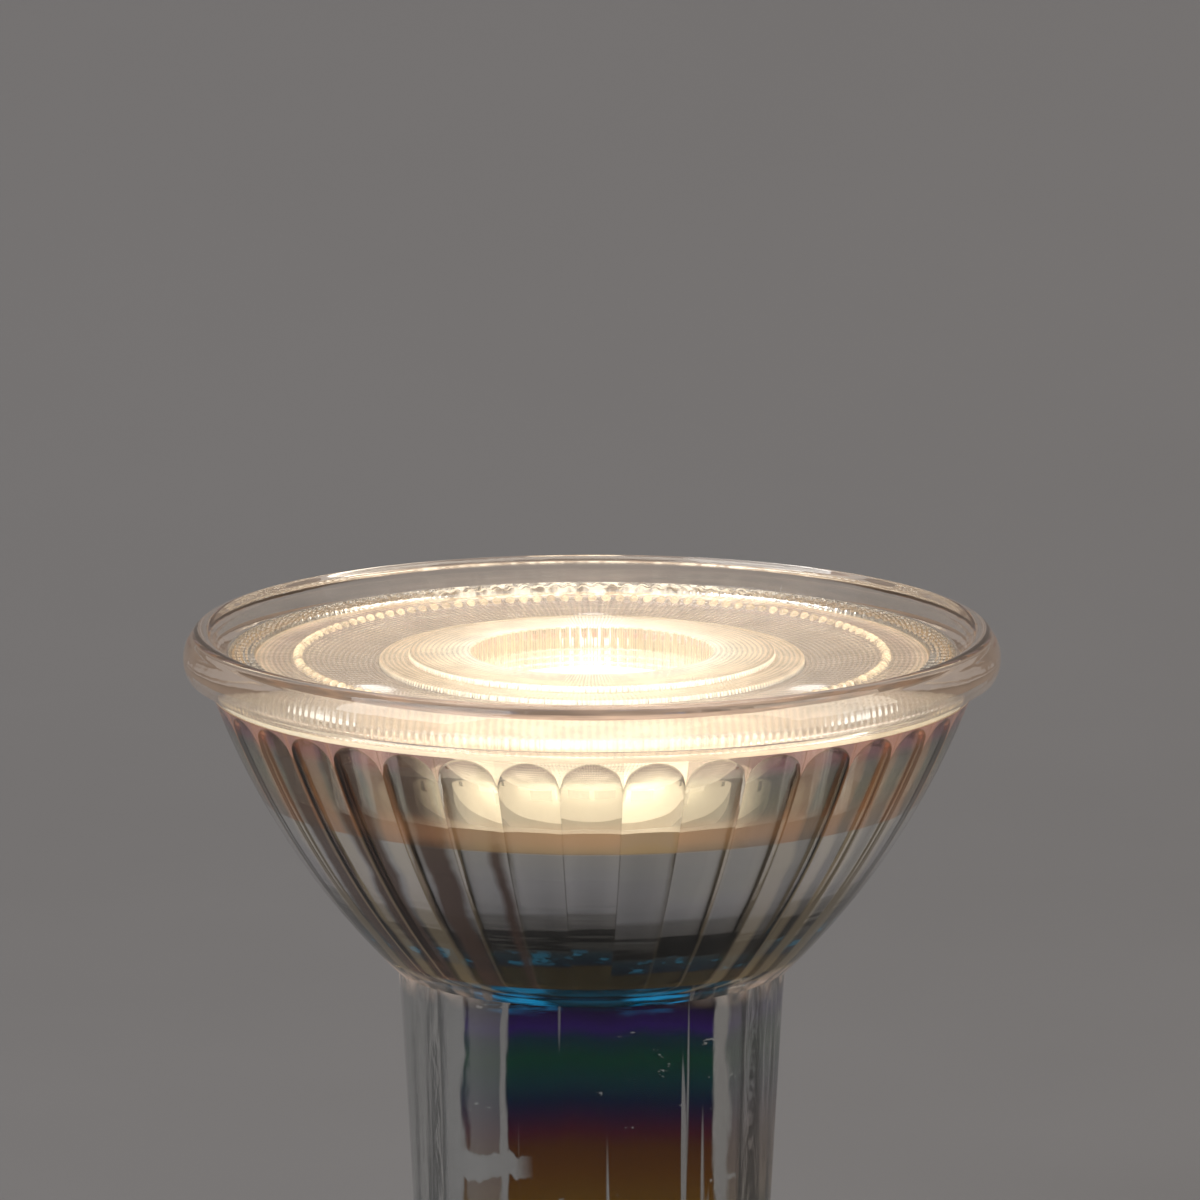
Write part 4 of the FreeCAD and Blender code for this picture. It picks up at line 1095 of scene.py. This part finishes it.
            # Each ring's painted glow, brighter or dimmer ring by ring, kept as a point colour.
            shine = Vector(linear(glow)) * strength
            for vert in rows[-1]:
                vert[lit] = shine
        for upper, lower in zip(rows, rows[1:]):
            for i in range(self.columns):
                after = (i + 1) % self.columns
                form.faces.new((upper[i], lower[i], lower[after], upper[after]))
        for ring in (rows[0], rows[-1]):
            middle = form.verts.new((0.0, 0.0, ring[0].co.z))
            middle[lit] = ring[0][lit]
            for i in range(self.columns):
                form.faces.new((ring[i], ring[(i + 1) % self.columns], middle))
        web_level = self.dish_level - self.web
        for leg in range(self.leg_count):
            spot = math.radians(90 + 360 * leg / self.leg_count)
            centre = (self.leg_circle * math.cos(spot), self.leg_circle * math.sin(spot))
            self.add_leg(form, centre, web_level)
        bmesh.ops.recalc_face_normals(form, faces=form.faces)
        mesh = bpy.data.meshes.new("ringed_lens")
        form.to_mesh(mesh)
        form.free()
        smooth(mesh, sharp_degrees=30)
        return mesh_object("ringed_lens", mesh)

    def add_leg(self, form: bmesh.types.BMesh, centre: Point, web_level: float) -> None:
        """Add one round leg that stands on the heat spreader.

        Args:
            form: the mesh that is being built.
            centre: the leg's place.
            web_level: the height of the web that it hangs from.
        """
        rows = []
        turns = [2 * math.pi * i / self.leg_sides for i in range(self.leg_sides)]
        foot, head = self.spreader_level, web_level + 0.2
        for level, share in ((foot, 0.0), (foot, 0.85), (foot + 0.15, 1.0), (web_level, 1.0), (head, 1.0), (head, 0.0)):
            reach = max(self.leg_radius * share, 0.01)
            rows.append([
                form.verts.new((
                    (centre[0] + reach * math.cos(turn)) * MM, (centre[1] + reach * math.sin(turn)) * MM, level * MM,
                )) for turn in turns
            ])
        bridge(form, rows)
        form.faces.new(rows[0][::-1])
        form.faces.new(rows[-1])

    def bead_row(self, material: Material) -> Object:
        """Make the row of beads around the lens with Geometry Nodes.

        Args:
            material: the beads' finish.

        Returns:
            The beads as one plain mesh.
        """
        tree = bpy.data.node_groups.new("bead_row", "GeometryNodeTree")
        level = self.top - self.border_step + 0.06
        sizes = {
            "Count": self.bead_count, "Ring Radius": self.bead_radius * MM, "Bead Size": self.bead_size * MM,
            "Level": level * MM,
        }
        for name, value in sizes.items():
            kind = "NodeSocketInt" if isinstance(value, int) else "NodeSocketFloat"
            tree.interface.new_socket(name, in_out="INPUT", socket_type=kind)
        tree.interface.new_socket("Geometry", in_out="OUTPUT", socket_type="NodeSocketGeometry")
        given = add(tree, "NodeGroupInput").outputs
        ring = add(tree, "GeometryNodeMeshCircle", {}, {"Vertices": given["Count"], "Radius": given["Ring Radius"]})
        lift = add(tree, "ShaderNodeCombineXYZ", {}, {"Z": given["Level"]})
        lifted = add(tree, "GeometryNodeTransform", {}, {"Geometry": ring.outputs[0], "Translation": lift.outputs[0]})
        bead = add(tree, "GeometryNodeMeshIcoSphere", {"Subdivisions": 2}, {"Radius": given["Bead Size"]})
        spots = {"Points": lifted.outputs[0], "Instance": bead.outputs[0]}
        placed = add(tree, "GeometryNodeInstanceOnPoints", {}, spots)
        real = add(tree, "GeometryNodeRealizeInstances", {}, {0: placed.outputs[0]})
        dressed = add(tree, "GeometryNodeSetMaterial", {"Material": material}, {0: real.outputs[0]})
        add(tree, "NodeGroupOutput", {}, {0: dressed.outputs[0]})
        return realised("bead_row", tree, sizes)


def realised(name: str, tree: NodeTree, sizes: dict) -> Object:
    """Turn a Geometry Nodes tree into a plain mesh object.

    Args:
        name: the new object's name.
        tree: the tree, with named inputs.
        sizes: a value for each input.

    Returns:
        The object, at the origin, with no modifier left on it.
    """
    carrier = mesh_object(f"{name}_carrier", bpy.data.meshes.new(f"{name}_carrier"))
    modifier = carrier.modifiers.new("tree", "NODES")
    modifier.node_group = tree
    for item in tree.interface.items_tree:
        if item.item_type == "SOCKET" and item.in_out == "INPUT":
            modifier[item.identifier] = sizes[item.name]
    graph = bpy.context.evaluated_depsgraph_get()
    mesh = bpy.data.meshes.new_from_object(carrier.evaluated_get(graph))
    bpy.data.objects.remove(carrier)
    mesh.name = name
    smooth(mesh, sharp_degrees=40)
    return mesh_object(name, mesh)


# What keeps its own solid


@dataclass
class CarriedSolids:
    """The light engine, the driver and the cap: solids that show their own meshes in their real finishes."""

    def finishes(self) -> dict[str, Finish]:
        """The finish of each carried node."""
        left_right = {
            # Turning leaves rings round the pin, so its highlight breaks across them; plating keeps it warm white.
            "contact_pin": Grained(
                "nickel_plated_brass_turned", "#C9C5BC", "#DAD6CE", 0.3, 1.0, 0.16, 0.3, 0.15, (1.0, 1.0, 8.0),
            ),
            # Barrel-plated zinc is duller than nickel: a grey, softly scattered shine.
            "pin_washer": Grained("zinc_plated_washer_stamped", "#B9B8B4", "#CAC9C5", 0.4, 1.0, 0.25, 0.4),
            # Solder freezes in a bright, slightly wrinkled skin.
            "pin_solder": Grained("solder_reflowed", "#BFC0C2", "#D6D7D8", 0.5, 1.0, 0.12, 0.3, 0.3),
            # Extruded rubber is matt and a little chalky.
            "mains_lead": Grained("silicone_sleeve_extruded", "#D9D6CC", "#E5E2D9", 0.6, 0.0, 0.5, 0.7),
        }
        table: dict[str, Finish] = {
            # Cured silicone is pale and cloudy; a faint painted glow stands for the optic's light that it carries.
            "lens_bond": Grained(
                "silicone_bond_cured", "#EDE3CF", "#F4ECDC", 0.5, 0.0, 0.4, 0.6, 0.2,
                glow="#FFD6A4", glow_strength=0.15,
            ),
            "heat_spreader": AluminiumPaintedGlow(),
            # White solder mask: pale and softly glossy, with a painted glow for the LEDs' light that it throws back.
            "led_board": Grained(
                "solder_mask_white", "#EDEBE2", "#F6F4EC", 0.8, 0.0, 0.35, 0.5, glow="#FFE8C8", glow_strength=0.4,
            ),
            # The housings carry a painted glow, so they look almost burnt out.
            "led_packages": Grained(
                "ppa_led_housing_moulded", "#EFEDE6", "#FAF8F0", 0.3, 0.0, 0.35, 0.5, glow="#FFEFD6", glow_strength=0.8,
            ),
            # Phosphor glows warm white; its yellow shows only at the edges.
            "led_phosphors": Grained(
                "phosphor_in_silicone_lit", "#F2D266", "#F7DE84", 0.15, 0.0, 0.3, 0.5,
                glow="#FFE3B0", glow_strength=2.0,
            ),
            # Drawn and tinned: a thin bright line.
            "led_leads": Grained("tinned_wire", "#C4C5C6", "#D5D6D7", 0.2, 1.0, 0.2, 0.35),
            # Translucent mask over copper and glass cloth: deep green with a fine mottle.
            "driver_board": Grained("glass_epoxy_green_mask", "#1F5B3A", "#2A6E48", 0.7, 0.0, 0.3, 0.45),
            # Heat-shrunk film is glossy and nearly black.
            "electrolytic_capacitor": Grained("shrink_sleeve_pvc_black", "#1C1C20", "#28282D", 0.5, 0.0, 0.3, 0.45),
            # Sintered ferrite is charcoal and dry, with a fine tooth.
            "inductor_core": Grained("ferrite_sintered", "#333335", "#434346", 0.2, 0.0, 0.6, 0.8, 0.3),
            # Turns of enamelled wire as stacked lines, drawn here coarser than the real wire: a bump, and the turns'
            # light and shade painted into the copper's colour.
            "inductor_winding": Grained(
                "enamelled_copper_wound", "#9A4E22", "#C87A3E", 0.18, 0.9, 0.2, 0.35, 0.7, (0.05, 0.05, 1.0),
            ),
            # Filled epoxy boxes are mustard and evenly satin.
            "film_capacitor": Grained("film_box_epoxy_filled", "#A9772C", "#BD8A3A", 0.4, 0.0, 0.35, 0.5),
            # The same shrunk film, a size smaller.
            "output_capacitor": Grained("shrink_sleeve_pvc_black_small", "#1C1C20", "#2B2B30", 0.4, 0.0, 0.3, 0.45),
            # Dipped lacquer pools into a smooth, slightly uneven pastel.
            "fusible_resistor": Grained("resistor_lacquer_dipped", "#7FA0A8", "#93B2B8", 0.35, 0.0, 0.3, 0.45, 0.2),
            # Moulded epoxy packages are black with a fine spark-eroded matt.
            "bridge_rectifier": Grained("epoxy_transfer_moulded", "#17171A", "#232326", 0.12, 0.0, 0.45, 0.6, 0.3),
            # The same epoxy on the controller and on the diode.
            "driver_chip": Grained("epoxy_transfer_moulded_chip", "#17171A", "#232326", 0.12, 0.0, 0.45, 0.6, 0.3),
            "output_diode": Grained("epoxy_transfer_moulded_diode", "#1A1A1C", "#262629", 0.12, 0.0, 0.45, 0.6, 0.3),
            # Glass glaze over the film gives a dark wet look.
            "chip_resistors": Grained("thick_film_resistor_glazed", "#2A2A2C", "#3A3A3D", 0.15, 0.0, 0.3, 0.5),
            # Fired ceramic is tan and dull.
            "chip_capacitors": Grained("barium_titanate_ceramic", "#9C7A58", "#AC8A66", 0.15, 0.0, 0.4, 0.6),
            # Blue mask over copper, mottled by the weave beneath.
            "radio_board": Grained("glass_epoxy_blue_mask", "#1B3E73", "#26508C", 0.6, 0.0, 0.3, 0.45),
            # The radio's package has the chips' matt black.
            "radio_chip": Grained("epoxy_transfer_moulded_radio", "#17171A", "#232326", 0.12, 0.0, 0.45, 0.6, 0.3),
            # Dabbed silicone sets with rounded, skin-like humps.
            "edge_adhesive": Grained("silicone_dabbed", "#DCDAD4", "#E8E6E0", 0.8, 0.0, 0.35, 0.55, 0.3),
        }
        for name, finish in left_right.items():
            for side in Side:
                table[f"{name}_{side.name.lower()}"] = finish
        return table

    def dress(self, nodes: dict[str, Object]) -> None:
        """Give each carried node its finish.

        Args:
            nodes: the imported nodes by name.
        """
        made: dict[str, Material] = {}
        for name, finish in self.finishes().items():
            if finish.name not in made:
                made[finish.name] = finish.build()
            mesh = nodes[name].data
            mesh.materials.clear()
            mesh.materials.append(made[finish.name])
            LOG.info("%s: %s", name, finish.name)


# The studio


@dataclass
class Studio:
    """A plain sweep, soft lamps and the camera at the photograph's angle."""

    floor_level: float = -7.02
    sweep_depth: float = 420.0
    sweep_radius: float = 260.0
    sweep_steps: int = 24
    sweep_height: float = 900.0
    half_width: float = 1400.0
    near: float = 900.0
    lens_mm: float = 221.0
    camera_at: tuple[float, float, float] = (0.49, -441.9, 133.7)
    look_at: tuple[float, float, float] = (0.49, 0.0, 48.6)

    def sweep(self) -> Object:
        """Build the floor that curves up into a wall."""
        line = [(-self.near, self.floor_level), (self.sweep_depth - self.sweep_radius, self.floor_level)]
        wall_foot = (self.sweep_depth, self.floor_level + self.sweep_radius)
        line += arc_points(line[-1], wall_foot, self.sweep_radius, self.sweep_steps)
        line.append((self.sweep_depth, self.sweep_height))
        points = [(x * MM, y * MM, z * MM) for y, z in line for x in (-self.half_width, self.half_width)]
        faces = [(2 * i, 2 * i + 1, 2 * i + 3, 2 * i + 2) for i in range(len(line) - 1)]
        mesh = bpy.data.meshes.new("sweep")
        mesh.from_pydata(points, [], faces)
        smooth(mesh, sharp_degrees=60)
        piece = mesh_object("sweep", mesh)
        # Uncoated paper scatters the light evenly, so the backdrop has no shine of its own.
        finish = Grained("paper_sweep_matt", "#6F6F72", "#717174", 40.0, 0.0, 0.85, 0.95, 0.02)
        mesh.materials.append(finish.build())
        return piece

    def lamp(self, name: str, spot: tuple[float, float, float], size: float, watts: float, colour: str) -> None:
        """Add a soft square lamp that faces the bulb.

        Args:
            name: the lamp's name.
            spot: its place in millimetres.
            size: its side in millimetres.
            watts: its power.
            colour: its colour as sRGB hex.
        """
        data = bpy.data.lights.new(name, "AREA")
        data.shape = "SQUARE"
        data.size = size * MM
        data.energy = watts
        data.color = linear(colour)[:3]
        lamp = bpy.data.objects.new(name, data)
        lamp.location = Vector(spot) * MM
        aim = Vector((0.0, 0.0, 0.03)) - lamp.location
        lamp.rotation_euler = aim.to_track_quat("-Z", "Y").to_euler()
        bpy.context.scene.collection.objects.link(lamp)

    def world(self) -> None:
        """Set a soft grey surround."""
        world = bpy.data.worlds.new("soft_surround")
        bpy.context.scene.world = world
        world.use_nodes = True
        tree = world.node_tree
        tree.nodes.clear()
        weave(tree, {
            "place": ("TexCoord",),
            "axes": ("SeparateXYZ", "place.Generated"),
            "height": ("MapRange", "axes.Z", -0.4, 1.0),
            "shade": ("ValToRGB", "height", [
                (0.0, "#5E5C5A"), (0.30, "#7A7876"), (0.45, "#8C8A88"), (0.75, "#9C9A98"), (1.0, "#B8B4AE"),
            ]),
            "surround": ("Background", "shade", 1.0),
            "out": ("OutputWorld", "surround"),
        })

    def camera(self) -> None:
        """Add the camera at the photograph's angle."""
        data = bpy.data.cameras.new("photo_angle")
        data.lens = self.lens_mm
        data.sensor_width = 36.0
        data.clip_start = 0.01
        data.clip_end = 10.0
        camera = bpy.data.objects.new("photo_angle", data)
        camera.location = Vector(self.camera_at) * MM
        aim = (Vector(self.look_at) - Vector(self.camera_at)) * MM
        camera.rotation_euler = aim.to_track_quat("-Z", "Y").to_euler()
        bpy.context.scene.collection.objects.link(camera)
        bpy.context.scene.camera = camera

    def build(self) -> None:
        """Build the sweep, the lamps, the surround and the camera."""
        self.sweep()
        self.lamp("softbox_left", (-420.0, -260.0, 420.0), 420.0, 2.0, "#FFFFFF")
        self.lamp("softbox_right", (460.0, -120.0, 300.0), 360.0, 1.2, "#FFF3E2")
        self.lamp("softbox_top", (0.0, 160.0, 620.0), 420.0, 1.6, "#FFF6EA")
        self.world()
        self.camera()
        bpy.context.scene.view_settings.view_transform = "Standard"


def main() -> None:
    """Build the bulb's looks in order."""
    logging.basicConfig(level=logging.INFO)
    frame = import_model()
    glass = PressedBowl()
    bowl = glass.build()
    glass.dress(bowl)
    ride(bowl, "clear_glass", "glass_body")
    optic = RingedLens()
    lens = optic.build()
    lens.data.materials.append(OpticAcrylic().build())
    ride(lens, "clear_lens", "front_lens")
    beads = optic.bead_row(GlowingBeads().build())
    ride(beads, "clear_lens")
    CarriedSolids().dress(frame["nodes"])
    Studio().build()


if __name__ == "__main__":
    main()
